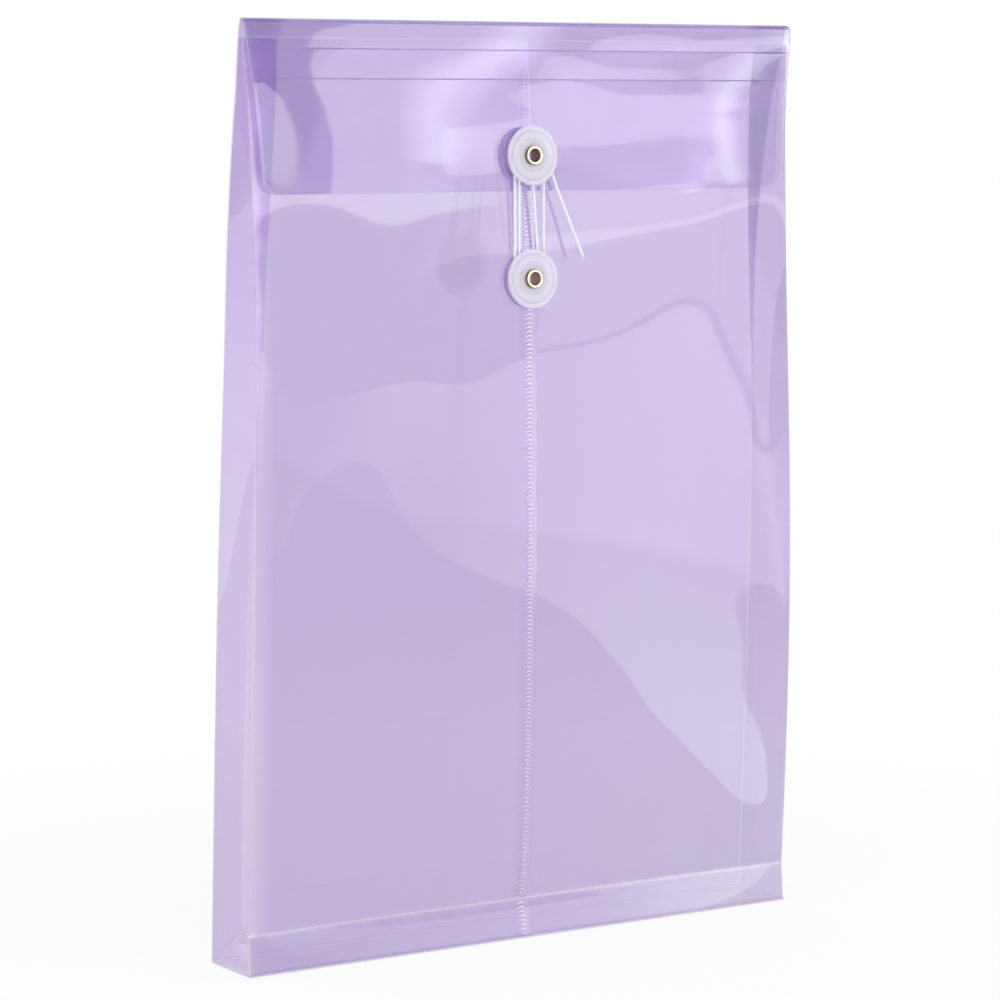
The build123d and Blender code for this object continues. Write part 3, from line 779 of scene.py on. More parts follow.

# %% [markdown]
# The flap hangs from the top fold in front of the front panel, scored twice across so that it can bend
# over a thick stack. It is measured down its length from the fold. Its sides taper a little and its
# lower corners are round. It has a net too, with the same columns as the front's: two rows for the slant
# of the strips above the scores, two for their bows and eight knots, 7 mm apart, for the tongue. The
# lines and spots that its reflections follow are marked on the picture, in pixels.

# %% Flap
FLAP_LENGTH, FLAP_TAPER, FLAP_CORNER = 62.5 * MM, 4 * MM, 6 * MM
UPPER_SCORE, LOWER_SCORE = 9.5 * MM, 20.5 * MM
TONGUE_UP = 7 * MM
TONGUE_KNOTS = 8
NUDGE = 0.05
FLAP_WEIGHT, BEND_WEIGHT, SLANT_WEIGHT, BOW_WEIGHT = 0.2, 1 / 0.35, 1 / 0.6, 1 / 0.12
ROOT_LINE = [
    (592, 48), (600, 40), (621, 35.3), (646, 34.5), (667, 35.3), (682, 36), (702, 44.5), (713, 40),
    (751, 37.6),
]
MIDDLE_LINE = [
    (563, 55), (575, 58.3), (591, 63.6), (610, 70.5), (627, 69.8), (658, 66.7), (672, 73.6), (680, 78),
    (693, 67.5), (707, 68.2),
]
TONGUE_LINE = [(594, 84.3), (608, 92), (624, 98.4), (658, 98), (695, 96.6), (706, 90.4), (713, 88.9)]
BAND_END = [
    (560, 145.6), (587.6, 148.6), (620, 145), (652, 141), (680, 136), (705.5, 132.6), (713, 141),
    (707, 157.8), (701, 173), (700, 187),
]
BOX_LEFT = [(307, 22), (309, 50), (309, 75), (320, 100), (329, 125), (332, 147), (331, 170), (328, 191)]
ABOVE_BAND = [
    (600, 30), (621, 27), (646, 27), (682, 28), (702, 35), (751, 30), (560, 35), (580, 30), (580, 43),
    (600, 56), (621, 58), (646, 56), (667, 58), (682, 66), (610, 84), (640, 88), (670, 88), (690, 86),
]
IN_BAND = [
    (621, 44), (646, 44), (667, 44), (682, 44), (751, 45), (575, 72), (595, 74), (627, 75), (650, 74),
    (560, 100), (560, 130), (600, 115), (600, 140), (640, 115), (640, 132), (680, 110), (680, 125),
    (725, 120), (730, 150), (730, 180), (745, 160),
]
BELOW_BAND = [(560, 170), (600, 165), (640, 160), (680, 155), (690, 175), (600, 185), (650, 180), (560, 186)]


def flap_half(drop):
    half = HALF_WIDTH - FLAP_TAPER * drop / FLAP_LENGTH
    into = drop - (FLAP_LENGTH - FLAP_CORNER)
    if into > 0:
        half -= FLAP_CORNER - math.sqrt(max(FLAP_CORNER**2 - into**2, 0))
    return half


def flap_shapes(drop):
    """How far each row of the net lifts the flap here: the slants, the bows, then the tongue's knots."""
    strips = ((0, UPPER_SCORE), (UPPER_SCORE, LOWER_SCORE))
    slants = [min(max((drop - top) / (bottom - top), 0), 1) for top, bottom in strips]
    down = max(drop - LOWER_SCORE, 0) / TONGUE_UP + 1
    tongue = [hump(down - k) - hump(1 - k) for k in range(TONGUE_KNOTS)]
    return slants + [math.sin(math.pi * share) for share in slants] + tongue


FLAP_TOP_ANGLE = math.asin((FOLD_Z - BOW[1]) / FLAP_RADIUS)


def flap_humps(x, z):
    drops = [FLAP_RADIUS * (FLAP_TOP_ANGLE - math.asin((v * MM - BOW[1]) / FLAP_RADIUS)) for v in z]
    shapes = np.array([flap_shapes(drop) for drop in drops])
    return (shapes[:, :, None] * across_humps(x)[:, None]).reshape(len(x), -1)


def plain_flap(x, z):
    arc = BOW[0] / MM - np.sqrt((FLAP_RADIUS / MM) ** 2 - (z - BOW[1] / MM) ** 2)
    set_back = np.vectorize(twist, otypes=[float])(x * MM, z * MM) / MM
    return arc + set_back + front_humps(x, z) @ front_heights


def in_picture(x, z):
    """Pixels across and down at which the camera sees these places of the flap."""
    right, up, back = np.array(camera.rotation_euler.to_matrix()).T
    ray = np.stack([x, plain_flap(x, z), z], -1) - np.array(CAMERA_PLACE) / MM
    scale = FOCAL_PIXELS / -(ray @ back)
    return PICTURE_PIXELS / 2 + scale * (ray @ right), PICTURE_PIXELS / 2 - scale * (ray @ up)


def flap_sample(pixels, count=0):
    """Samples of the flap under these pixels, or under a count of places evenly along their line."""
    across, down = np.array(pixels, float).T
    if count:
        runs = np.append(0, np.cumsum(np.hypot(np.diff(across), np.diff(down))))
        even = np.linspace(0, runs[-1], count)
        across, down = np.interp(even, runs, across), np.interp(even, runs, down)
    x, z = (across - 520) * 0.45, 352 - (down - 22) * 0.39
    for _ in range(12):
        here, beside, above = (
            np.array(in_picture(x + dx, z + dz)) for dx, dz in ((0, 0), (NUDGE, 0), (0, NUDGE))
        )
        (ax, ay), (bx, by) = (beside - here) / NUDGE, (above - here) / NUDGE
        off_x, off_y = across - here[0], down - here[1]
        area = ax * by - ay * bx
        x, z = x + (off_x * by - off_y * bx) / area, z + (ax * off_y - ay * off_x) / area
    return sample(x, z, plain_flap, flap_humps, 0.1)


print("flap band between lines of", len(ROOT_LINE + MIDDLE_LINE + TONGUE_LINE + BAND_END), "points")

# %% [markdown]
# The flap's net is worked out in the same way. Its lines mirror the edges of the flap band and the left
# edge of the flap box, and its spots lie above, in or below the band. The bows of the strips stay small.

# %% Flap net
low, top = FLAP_BAND
wishes = []
for line, count, way, seen in (
    (ROOT_LINE, 24, UPWARDS, top),
    (MIDDLE_LINE, 24, UPWARDS, top),
    (TONGUE_LINE, 20, UPWARDS, top),
    (BAND_END, 30, UPWARDS, low),
    (BOX_LEFT, 16, SIDEWAYS, FLAP_BOX_LEFT),
):
    wishes.append((flap_sample(line, count), way, seen, seen, FLAP_WEIGHT))
for spots, least, most in (
    (ABOVE_BAND, top + 10, np.inf),
    (IN_BAND, low + 7, top - 7),
    (BELOW_BAND, -np.inf, low - 8),
):
    wishes.append((flap_sample(spots), UPWARDS, least, most, FLAP_WEIGHT))
flap_rows = 4 + TONGUE_KNOTS
knots = np.eye(flap_rows * NET_COLUMNS).reshape(flap_rows, NET_COLUMNS, -1)
row_weights = [SLANT_WEIGHT] * 2 + [BOW_WEIGHT] * 2 + [SLANT_WEIGHT] * TONGUE_KNOTS
still = np.vstack([BEND_WEIGHT * bend_rows(knots), np.diag(np.repeat(row_weights, NET_COLUMNS))])
flap_heights = settle(wishes, still, slopes=(1, 2), stride=0.4)
FLAP_NET = flap_heights.round(2).reshape(flap_rows, NET_COLUMNS).tolist()
print("flap net of", len(FLAP_NET), "by", len(FLAP_NET[0]), "heights")

# %% [markdown]
# With its net the flap is built as three strips, one for each stretch between the fold, the scores and
# the cut end.

# %% Flap strips


def flap_net(x, drop):
    """Height off the plain arc."""
    across = (x - NET_LEFT) / NET_ACROSS
    columns = near_knots(across, FLAP_NET[0])
    rows = zip(flap_shapes(drop), FLAP_NET)
    return MM * sum(shape * sum(row[c] * hump(across - c) for c in columns) for shape, row in rows)


def flap_place(share, drop):
    angle = FLAP_TOP_ANGLE - drop / FLAP_RADIUS
    y, z = BOW[0] - FLAP_RADIUS * math.cos(angle), BOW[1] + FLAP_RADIUS * math.sin(angle)
    x = share * flap_half(drop)
    return Vector((x, y + twist(x, z) + net_height(x, z) + flap_net(x, drop), z))


def flap_depth(share, drop):
    """The scores and the cut end are deeper in colour, and so is the stretch next to the fold."""
    line = 0.4 if drop in (UPPER_SCORE, LOWER_SCORE, FLAP_LENGTH) else 0
    return line + 0.9 - 0.8 * smooth(5.5 * MM, 6.5 * MM, drop)


flap_shares = [-1, -0.997] + [-0.985 + 1.97 * k / 70 for k in range(71)] + [0.997, 1]
corner_drops = [FLAP_LENGTH - FLAP_CORNER * (1 - math.sin(math.pi / 2 * k / 9)) for k in range(10)]
tongue_rows = steps(LOWER_SCORE, FLAP_LENGTH - FLAP_CORNER, 2.5 * MM)[:-1] + corner_drops
for name, rows, body, node in (
    ("flap_root", steps(0, UPPER_SCORE, 1.6 * MM), "flap_root", "flap_root_strip"),
    ("flap_middle", steps(UPPER_SCORE, LOWER_SCORE, 1.8 * MM), "flap_middle", "flap_middle_strip"),
    ("flap_end", tongue_rows, "flap_end", "flap_tongue"),
):
    strip = sheet(
        name, flap_shares, rows, flap_place,
        lambda share, drop: 0.5 * line_white((1 - abs(share)) * HALF_WIDTH), CUT, flap_depth,
    )
    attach(strip, body)
    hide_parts(node)
    print(name, len(strip.data.vertices), "points")

# %% [markdown]
# The lap is closed by a hot wheel that presses one arched rib after another across both sheets. Each rib
# is a low ridge that climbs from the left to its highest point near the right and drops again, so the
# row looks like a flat plait. Pressing leaves the plastic whiter and shinier, and the stronger shine on
# the right half of the seam is a painted highlight.

# %% Weld
WELD_PITCH, WELD_TOP, DISC_CLEAR = 1.66 * MM, FOLD_Z - 15 * MM, 11.9 * MM
RIB_ARCH = [(-1.95, -0.36, 0.02), (-1.4, -0.12, 0.1), (-0.6, 0.12, 0.13), (0.2, 0.3, 0.16), (0.7, 0.36, 0.22),
            (1.1, 0.08, 0.22), (1.5, -0.3, 0.14), (1.85, -0.62, 0.02)]
RIB_HALF = 0.42 * MM

weld_and_painted_highlight_material, tree = new_material("pressed_weld")
place = add(tree, "ShaderNodeTexCoord").outputs["Object"]
fleck = add(tree, "ShaderNodeTexNoise", {"Scale": 1 / (0.8 * MM), "Detail": 3}, {"Vector": place})
tone = add(tree, "ShaderNodeValToRGB", links={"Fac": fleck.outputs["Fac"]})
tone.color_ramp.elements[0].color, tone.color_ramp.elements[1].color = colour("#EDE8F8"), colour("#FDFCFF")
skin = add(
    tree, "ShaderNodeBsdfPrincipled", {"Roughness": 0.3, "Metallic": 0.8},
    {"Base Color": tone.outputs["Color"]},
)
clear = add(tree, "ShaderNodeBsdfTransparent", {"Color": colour("#EFE8F7")})
across = add(tree, "ShaderNodeSeparateXYZ", links={"Vector": place}).outputs["X"]
# More of the white skin towards the right half of the seam is a painted highlight.
right = add(
    tree, "ShaderNodeMapRange",
    {"From Min": SEAM_X - 1 * MM, "From Max": SEAM_X + 1 * MM, "To Min": 0.25, "To Max": 0.5},
    {"Value": across},
)
mix = add(
    tree, "ShaderNodeMixShader",
    links={0: right.outputs["Result"], 1: clear.outputs["BSDF"], 2: skin.outputs["BSDF"]},
)
add(tree, "ShaderNodeOutputMaterial", links={"Surface": mix.outputs["Shader"]})


def weld(name, low, high, surface, clear_of, body, nodes):
    """Ribs one above the other between two heights, on the outer face of the lap."""
    bm = bmesh.new()
    for k in range(int((high - low) / WELD_PITCH)):
        middle = low + (k + 0.5) * WELD_PITCH
        if clear_of and abs(middle - clear_of) < DISC_CLEAR:
            continue
        rows = []
        for across, up, rise in RIB_ARCH:
            x, z = SEAM_X + across * MM, middle + up * MM
            row = []
            for share, height in ((-1, 0), (-0.45, 0.75), (0.45, 0.75), (1, 0)):
                spot = surface(x, z + share * RIB_HALF)
                row.append(bm.verts.new(spot + Vector((0, -SHEET / 2 - rise * height * MM - 0.02 * MM, 0))))
            rows.append(row)
        for left, right in zip(rows, rows[1:]):
            for a in range(3):
                face = bm.faces.new((left[a], right[a], right[a + 1], left[a + 1]))
                face.smooth = True
            bm.faces.new((left[0], left[3], right[3], right[0]))
        bm.faces.new(rows[0])
        bm.faces.new(list(reversed(rows[-1])))
    bmesh.ops.recalc_face_normals(bm, faces=bm.faces)
    made = new_piece(name, bm, weld_and_painted_highlight_material)
    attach(made, body)
    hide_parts(*nodes)
    print(name, len(made.data.polygons), "faces")


pocket_spot = Vector(joints["pocket_disc_spin"]["pos_m"])
front_face, foot_face = lapped(0, front_place, strip_place)
front_nodes = ("lower_weld", "upper_weld")
weld("front_weld", CREASE_Z + 1 * MM, WELD_TOP, front_face, pocket_spot.z, "pocket_front", front_nodes)
weld("foot_front_weld", 1.2 * MM, CREASE_Z - 0.6 * MM, foot_face, None, "pocket_back", ("foot_weld",))

# %% [markdown]
# Buttons, washers and eyelets are all turned shapes. Half a section is drawn as a ring of points, its
# corners are rounded by a bevel on the points, and a full spin about the axis closes it. Each is then
# set on its own joint's axis, square to the sheet.

# %% Turned shapes


def joint_matrix(name):
    """Place of a button: its joint's point, with the joint's axis as Z."""
    axis = Vector(joints[name]["axis"]).normalized()
    x_axis = Vector((1, 0, 0))
    turn = Matrix((x_axis, axis.cross(x_axis), axis)).transposed().to_4x4()
    return Matrix.Translation(Vector(joints[name]["pos_m"])) @ turn


def turned(name, section, rounding, matrix, material, segments=96):
    bm = bmesh.new()
    points = [bm.verts.new((r * MM, 0, w * MM)) for r, w in section]
    for a, b in zip(points, points[1:] + points[:1]):
        bm.edges.new((a, b))
    bmesh.ops.bevel(
        bm, geom=points, offset=rounding * MM, segments=3, profile=0.5, affect="VERTICES", material=-1
    )
    bmesh.ops.spin(
        bm, geom=bm.verts[:] + bm.edges[:], cent=(0, 0, 0), axis=(0, 0, 1), angle=2 * math.pi,
        steps=segments, use_merge=True,
    )
    bmesh.ops.recalc_face_normals(bm, faces=bm.faces)
    for face in bm.faces:
        face.smooth = True
    bm.transform(matrix)
    made = new_piece(name, bm, material)
    print(name, len(made.data.polygons), "faces")
    return made


print("upper button at", [round(c / MM, 1) for c in joint_matrix("flap_disc_spin").translation], "mm")

# %% [markdown]
# The discs are milky, half clear plastic with moulded rings, whose colour is painted light: paler on the
# rim and the ridges as a painted highlight, darker in the grooves as painted shade. The washers behind them
# are the same lilac as the sheet but thicker, and that deeper lilac also stands in for the disc's shadow
# as painted shade. The eyelets are pale, polished brass with fine turning marks; their bore and the outer
# edge of the crown are darker as painted shade, and the crown is paler as a painted highlight.

# %% Button materials


def axis_place(tree, matrix):
    """Object coordinates moved onto a button's own axis, so that patterns can run round it."""
    place = add(tree, "ShaderNodeTexCoord").outputs["Object"]
    back = matrix.inverted()
    values = {"Location": back.translation, "Rotation": back.to_euler()}
    return add(tree, "ShaderNodeMapping", values, {"Vector": place}).outputs["Vector"]


def radius_ramp(tree, place, reach, stops):
    """Colour by the distance from a button's axis; each stop is a radius in millimetres and a colour."""
    flat = add(tree, "ShaderNodeVectorMath", {1: (1, 1, 0)}, {0: place}, operation="MULTIPLY")
    away = add(tree, "ShaderNodeVectorMath", links={0: flat.outputs["Vector"]}, operation="LENGTH")
    share = add(tree, "ShaderNodeMapRange", {"From Max": reach * MM}, {"Value": away.outputs["Value"]})
    ramp = add(tree, "ShaderNodeValToRGB", links={"Fac": share.outputs["Result"]})
    for k, (radius, tone) in enumerate(stops):
        stop = ramp.color_ramp.elements[0] if k == 0 else ramp.color_ramp.elements.new(radius / reach)
        stop.position, stop.color = radius / reach, colour(tone)
    ramp.color_ramp.elements.remove(ramp.color_ramp.elements[-1])
    return ramp.outputs["Color"]


def button_material_with_painted_light(name, matrix):
    material, tree = new_material(name)
    place = axis_place(tree, matrix)
    # These rings are painted light: paler on the rim and the ridges as a painted highlight, darker in the
    # grooves as painted shade.
    rings = radius_ramp(
        tree, place, 12,
        [(2.6, "#ECEAF6"), (4.6, "#FBFAFF"), (6.2, "#E9E6F4"), (6.9, "#FDFCFF"), (8.4, "#F4F2FB"),
         (9.4, "#E6E3F2"), (9.9, "#FBFAFF"), (10.9, "#F0EEF9"), (11.25, "#FFFFFF")],
    )
    cloud = add(tree, "ShaderNodeTexNoise", {"Scale": 1 / (4 * MM), "Detail": 3}, {"Vector": place})
    tone = add(
        tree, "ShaderNodeMixRGB", {0: 0.12}, {1: rings, 2: cloud.outputs["Color"]}, blend_type="SOFT_LIGHT"
    )
    grain = {"Strength": 0.2, "Distance": 0.02 * MM}
    bump = add(tree, "ShaderNodeBump", grain, {"Height": cloud.outputs["Fac"]})
    skin = add(
        tree, "ShaderNodeBsdfPrincipled", {"Roughness": 0.28, "IOR": 1.49},
        {"Base Color": tone.outputs["Color"], "Normal": bump.outputs["Normal"]},
    )
    clear = add(tree, "ShaderNodeBsdfTransparent", {"Color": colour("#F6F4FA")})
    mix = add(tree, "ShaderNodeMixShader", {0: 0.55}, {1: clear.outputs["BSDF"], 2: skin.outputs["BSDF"]})
    add(tree, "ShaderNodeOutputMaterial", links={"Surface": mix.outputs["Shader"]})
    return material


def eyelet_material_with_painted_light(name, matrix):
    material, tree = new_material(name)
    place = axis_place(tree, matrix)
    marks = add(
        tree, "ShaderNodeTexWave", {"Scale": 1 / (0.5 * MM), "Distortion": 2, "Detail": 2},
        {"Vector": place}, wave_type="RINGS", rings_direction="Z",
    )
    tarnish = add(tree, "ShaderNodeTexNoise", {"Scale": 1 / (1.8 * MM), "Detail": 4}, {"Vector": place})
    # This ramp is painted light: darker in the bore and at the crown's outer edge as painted shade, palest on
    # the crown as a painted highlight.
    tone = radius_ramp(
        tree, place, 4,
        [(2.3, "#B79C78"), (2.45, "#A98F62"), (2.75, "#E9DFC6"), (3.2, "#F6F0E2"), (3.45, "#CDBB8D"),
         (3.68, "#6A552F")],
    )
    dull = {"To Min": 0.12, "To Max": 0.24}
    rough = add(tree, "ShaderNodeMapRange", dull, {"Value": tarnish.outputs["Fac"]})
    groove = {"Strength": 0.12, "Distance": 0.004 * MM}
    bump = add(tree, "ShaderNodeBump", groove, {"Height": marks.outputs["Fac"]})
    skin = add(
        tree, "ShaderNodeBsdfPrincipled", {"Metallic": 1.0},
        {"Base Color": tone, "Roughness": rough.outputs["Result"], "Normal": bump.outputs["Normal"]},
    )
    add(tree, "ShaderNodeOutputMaterial", links={"Surface": skin.outputs["BSDF"]})
    return material


# The washer is real, and its deeper lilac also stands in for the disc's shadow beside it as painted shade.
washer_plastic_and_painted_shade = sheet_material("lilac_washer_painted_shade", "#EADFF4", GLOSS, 0, 0.06)
print("washer material", washer_plastic_and_painted_shade.name)

# %% [markdown]
# The two buttons are alike. The hub lies on the washer and carries the string, and the disc above it
# keeps the string from slipping off. The eyelet goes through all of them and is rolled over in front
# and spread flat behind the sheet.

# %% Buttons, washers and eyelets
DISC = [(2.68, 0.5), (3.2, 0.5), (3.2, 2.8), (10.9, 2.8), (11.3, 3.15), (11.3, 3.55), (10.9, 3.9),
        (9.95, 3.95), (9.5, 3.72), (9.1, 3.9), (7.5, 3.9), (6.9, 4.15), (6.4, 4.05), (5.6, 4.15),
        (5.0, 4.15), (4.5, 3.92), (2.68, 3.92)]
WASHER = [(2.65, 0.05), (11.3, 0.05), (11.3, 0.4), (2.65, 0.4)]


def eyelet_section(grip):
    """Half section of an eyelet that holds a sheet this thick."""
    angles = [math.pi * k / 8 for k in range(9)]
    crown = [(3.02 + 0.68 * math.cos(a), 4.5 + 0.7 * math.sin(a)) for a in angles]
    back = -grip - 0.05
    spread = [(2.35, back - 0.5), (2.9, back - 0.45), (3.5, back - 0.1), (2.6, back)]
    return [(3.7, 4.02), *crown, *spread, (2.6, 4.02)]


for label, joint, disc_body, body, grip in (
    ("flap", "flap_disc_spin", "flap_disc", "flap_end", 0.45),
    ("pocket", "pocket_disc_spin", "pocket_disc", "pocket_front", 0.95),
):
    matrix = joint_matrix(joint)
    disc = turned(f"{label}_disc", DISC, 0.08, matrix, button_material_with_painted_light(f"milky_plastic_painted_light_{label}", matrix))
    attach(disc, disc_body)
    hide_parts(f"{label}_button")
    ring = turned(f"{label}_backing", WASHER, 0.06, matrix, washer_plastic_and_painted_shade)
    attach(ring, body)
    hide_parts(f"{label}_washer")
    brass = eyelet_material_with_painted_light(f"pale_brass_painted_light_{label}", matrix)
    barrel = turned(f"{label}_rivet", eyelet_section(grip), 0.05, matrix, brass)
    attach(barrel, body)
    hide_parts(f"{label}_eyelet")

# %% [markdown]
# The string is white waxed twine, tied below the upper hub. It runs down to the lower hub, goes twice
# round both hubs, each turn outside the last, and leaves its tail hanging to the right. Its route is a
# NURBS spline: the points of a turn stand just outside its circle, and one more point on each straight
# run keeps the run straight. A tube of three twisted strands follows the points read from that spline.

# %% String route
STRING_DIAMETER = 1.3 * MM
upper = joint_matrix("flap_disc_spin") @ Vector((0, 0, 1.6 * MM))
lower = joint_matrix("pocket_disc_spin") @ Vector((0, 0, 1.6 * MM))
HUB_SPAN = (upper - lower).length
up_axis = (upper - lower).normalized()
out_axis = Vector((1, 0, 0)).cross(up_axis).normalized()
FIRST_TURN, TURN_STEP = 4.1 * MM, 0.95 * MM
TAIL = [(15.3, -20.7, 1.0), (19.4, -31.5, 2.2), (22.0, -38.4, 3.0)]


def string_place(x, rise, out=0):
    """Point of the winding's plane: across, up from the upper hub, and out towards the viewer."""
    return upper + Vector((x, 0, 0)) + up_axis * rise + out_axis * out


def turn_points(centre, radius, start, end, count):
    """Spline points of part of a turn, each where the circle's tangents cross."""
    step = (start - end) / count
    reach = radius / math.cos(step / 2)
    angles = [start - step * (k + 0.5) for k in range(count)]
    return [string_place(centre[0] + reach * math.cos(a), centre[1] + reach * math.sin(a)) for a in angles]


knot_foot = (0.8 * MM, -6.1 * MM)
reach = [FIRST_TURN + k * TURN_STEP for k in range(5)]
HOLD = 8 * MM
route = [string_place(*knot_foot), string_place(1.5 * MM, -14 * MM), string_place(3.4 * MM, HOLD - HUB_SPAN)]
route += turn_points(((reach[0] - reach[1]) / 2, -HUB_SPAN), (reach[0] + reach[1]) / 2, 0.08, -math.pi, 4)
for k in (1, 2, 3):
    rising = k % 2 == 1
    x = -reach[k] if rising else reach[k]
    ends = (HOLD - HUB_SPAN, -HOLD)
    route += [string_place(x, rise) for rise in (ends if rising else reversed(ends))]
    centre = ((x + (reach[k + 1] if rising else -reach[k + 1])) / 2, 0 if rising else -HUB_SPAN)
    start = math.pi if rising else 0
    end = math.radians(12.5) if k == 3 else start - math.pi
    route += turn_points(centre, (reach[k] + reach[k + 1]) / 2, start, end, 4)
route += [string_place(9.67 * MM, -7.18 * MM)] + [string_place(*[c * MM for c in point]) for point in TAIL]

curve = bpy.data.curves.new("string_route", "CURVE")
curve.dimensions = "3D"
curve.resolution_u = 10
spline = curve.splines.new("NURBS")
spline.points.add(len(route) - 1)
for point, spot in zip(spline.points, route):
    point.co = (*spot, 1)
spline.order_u = 3
spline.use_endpoint_u = True
guide = bpy.data.objects.new("string_route", curve)
path = [v.co.copy() for v in bpy.data.meshes.new_from_object(guide).vertices]
bpy.data.objects.remove(guide)

# %% [markdown]
# Waxed twine has a soft sheen, and its three strands make slanted grooves that catch the light.

# %% String material
string_material, tree = new_material("white_waxed_twine")
place = add(tree, "ShaderNodeTexCoord").outputs["Object"]
fibre = add(tree, "ShaderNodeTexNoise", {"Scale": 1 / (0.35 * MM), "Detail": 4}, {"Vector": place})
tone = add(tree, "ShaderNodeValToRGB", links={"Fac": fibre.outputs["Fac"]})
tone.color_ramp.elements[0].color, tone.color_ramp.elements[1].color = colour("#E2E5EE"), colour("#FCFCFE")
bump = add(tree, "ShaderNodeBump", {"Strength": 0.3, "Distance": 0.03 * MM}, {"Height": fibre.outputs["Fac"]})
skin = add(
    tree, "ShaderNodeBsdfPrincipled", {"Roughness": 0.38, "Sheen Weight": 0.15},
    {"Base Color": tone.outputs["Color"], "Normal": bump.outputs["Normal"]},
)
add(tree, "ShaderNodeOutputMaterial", links={"Surface": skin.outputs["BSDF"]})
print("string material", string_material.name)

# %% [markdown]
# The tube is swept along the path with a frame that never spins by itself, so the only twist is that of
# the strands. The section has three shallow lobes, turned a little further at every step.

# %% String tube
STRAND_PITCH, SIDES, LOBE = 5.2 * MM, 15, 0.07


def twine(name, points, diameter):
    """Tube of three twisted strands along a line of points, closed at both ends."""
    bm = bmesh.new()
    rings, run = [], 0
    tangent = (points[1] - points[0]).normalized()
    side = tangent.orthogonal().normalized()
    for k, spot in enumerate(points):
        ahead = (points[min(k + 1, len(points) - 1)] - points[max(k - 1, 0)]).normalized()
        side = (side - ahead * side.dot(ahead)).normalized()
        other = ahead.cross(side)
        run += (spot - points[k - 1]).length if k else 0
        ring = []
        for n in range(SIDES):
            angle = 2 * math.pi * n / SIDES
            lobe = math.cos(3 * (angle - 2 * math.pi * run / STRAND_PITCH))
            radius = diameter / 2 * (1 - LOBE + LOBE * lobe)
            ring.append(bm.verts.new(spot + (side * math.cos(angle) + other * math.sin(angle)) * radius))
        rings.append(ring)
    for a, b in zip(rings, rings[1:]):
        for n in range(SIDES):
            bm.faces.new((a[n], a[(n + 1) % SIDES], b[(n + 1) % SIDES], b[n])).smooth = True
    bm.faces.new(list(reversed(rings[0])))
    bm.faces.new(rings[-1])
    bmesh.ops.recalc_face_normals(bm, faces=bm.faces)
    made = new_piece(name, bm, string_material)
    return made


def draw_up(piece):
    """The string rides with the flap's end and gets a mesh of its own."""
    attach(piece, "flap_end")
    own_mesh(piece)


string = twine("twine", path, STRING_DIAMETER)
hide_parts("string")
draw_up(string)
print("string tube", len(string.data.polygons), "faces")

# %% [markdown]
# The knot is one overhand turn drawn up tight against the hub, with a short cut end beside the string.
# Three small fibres stand out of the tail where it was cut.

# %% Knot and cut end
knot_top = string_place(0.7 * MM, -3.6 * MM)
knot_axis = (string_place(*knot_foot) - knot_top).normalized()
across_axis = Vector((1, 0, 0)) - knot_axis * knot_axis.x
across_axis.normalize()
deep_axis = knot_axis.cross(across_axis)
KNOT_TURNS, KNOT_LENGTH = 2, 2.1 * MM
knot_points = []
for k in range(25):
    share = k / 24
    angle = 2 * math.pi * KNOT_TURNS * share
    swing = across_axis * math.cos(angle) * 0.72 * MM + deep_axis * math.sin(angle) * 0.5 * MM
    knot_points.append(knot_top + knot_axis * (0.35 * MM + KNOT_LENGTH * share) + swing)
for x, rise in ((2.3, -7.2), (3.2, -9.2), (4.2, -11.4)):
    knot_points.append(string_place(x * MM, rise * MM))
knot = twine("twine_knot", knot_points, 0.8 * MM)
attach(knot, "flap_end")
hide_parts("string_knot")

random.seed(5)
tail_tip, tail_way = path[-1], (path[-1] - path[-3]).normalized()
fibres = []
for k in range(3):
    spread = Vector([random.uniform(-1, 1) for _ in range(3)]) * 0.45
    way = (tail_way + spread).normalized()
    points = [tail_tip + way * reach * MM for reach in (-0.4, 0.5, 1.1)]
    fibres.append(twine(f"twine_fibre_{k}", points, 0.5 * MM))
    draw_up(fibres[-1])

# %% [markdown]
# The stage is a pale floor under an even white surround. To the camera, and in reflections, the surround
# is plain white. The floor turns to the same white away from the object and keeps its soft shadow near it.

# %% Floor and surround
FLOOR_HALF = 6


def seen_white(tree):
    """1 for what the camera sees, also mirrored or through a sheet, and 0 for what lights the object."""
    rays = add(tree, "ShaderNodeLightPath").outputs
    seen = rays["Is Camera Ray"]
    for kind in ("Is Glossy Ray", "Is Transmission Ray"):
        both = add(tree, "ShaderNodeMath", links={0: seen, 1: rays[kind]}, operation="ADD", use_clamp=True)
        seen = both.outputs["Value"]
    return seen


bm = bmesh.new()
bmesh.ops.create_grid(bm, x_segments=1, y_segments=1, size=FLOOR_HALF)
bm.transform(Matrix.Translation((0, 0, -0.3 * MM)))
floor = new_piece("floor", bm)

floor_material, tree = new_material("pale_floor")
place = add(tree, "ShaderNodeTexCoord").outputs["Object"]
far = add(tree, "ShaderNodeVectorMath", links={0: place}, operation="LENGTH")
fade = add(
    tree, "ShaderNodeMapRange", {"From Min": 0.2, "From Max": 0.5, "To Min": 0.88},
    {"Value": far.outputs["Value"]}, interpolation_type="SMOOTHSTEP",
)
both = {0: seen_white(tree), 1: fade.outputs["Result"]}
share = add(tree, "ShaderNodeMath", links=both, operation="MULTIPLY")
paper = add(tree, "ShaderNodeBsdfDiffuse", {"Color": colour("#F4F4F4")})
white = add(tree, "ShaderNodeEmission", {"Color": (1, 1, 1, 1), "Strength": 1})
mix = add(
    tree, "ShaderNodeMixShader",
    links={0: share.outputs["Value"], 1: paper.outputs["BSDF"], 2: white.outputs["Emission"]},
)
add(tree, "ShaderNodeOutputMaterial", links={"Surface": mix.outputs["Shader"]})
floor.data.materials.append(floor_material)

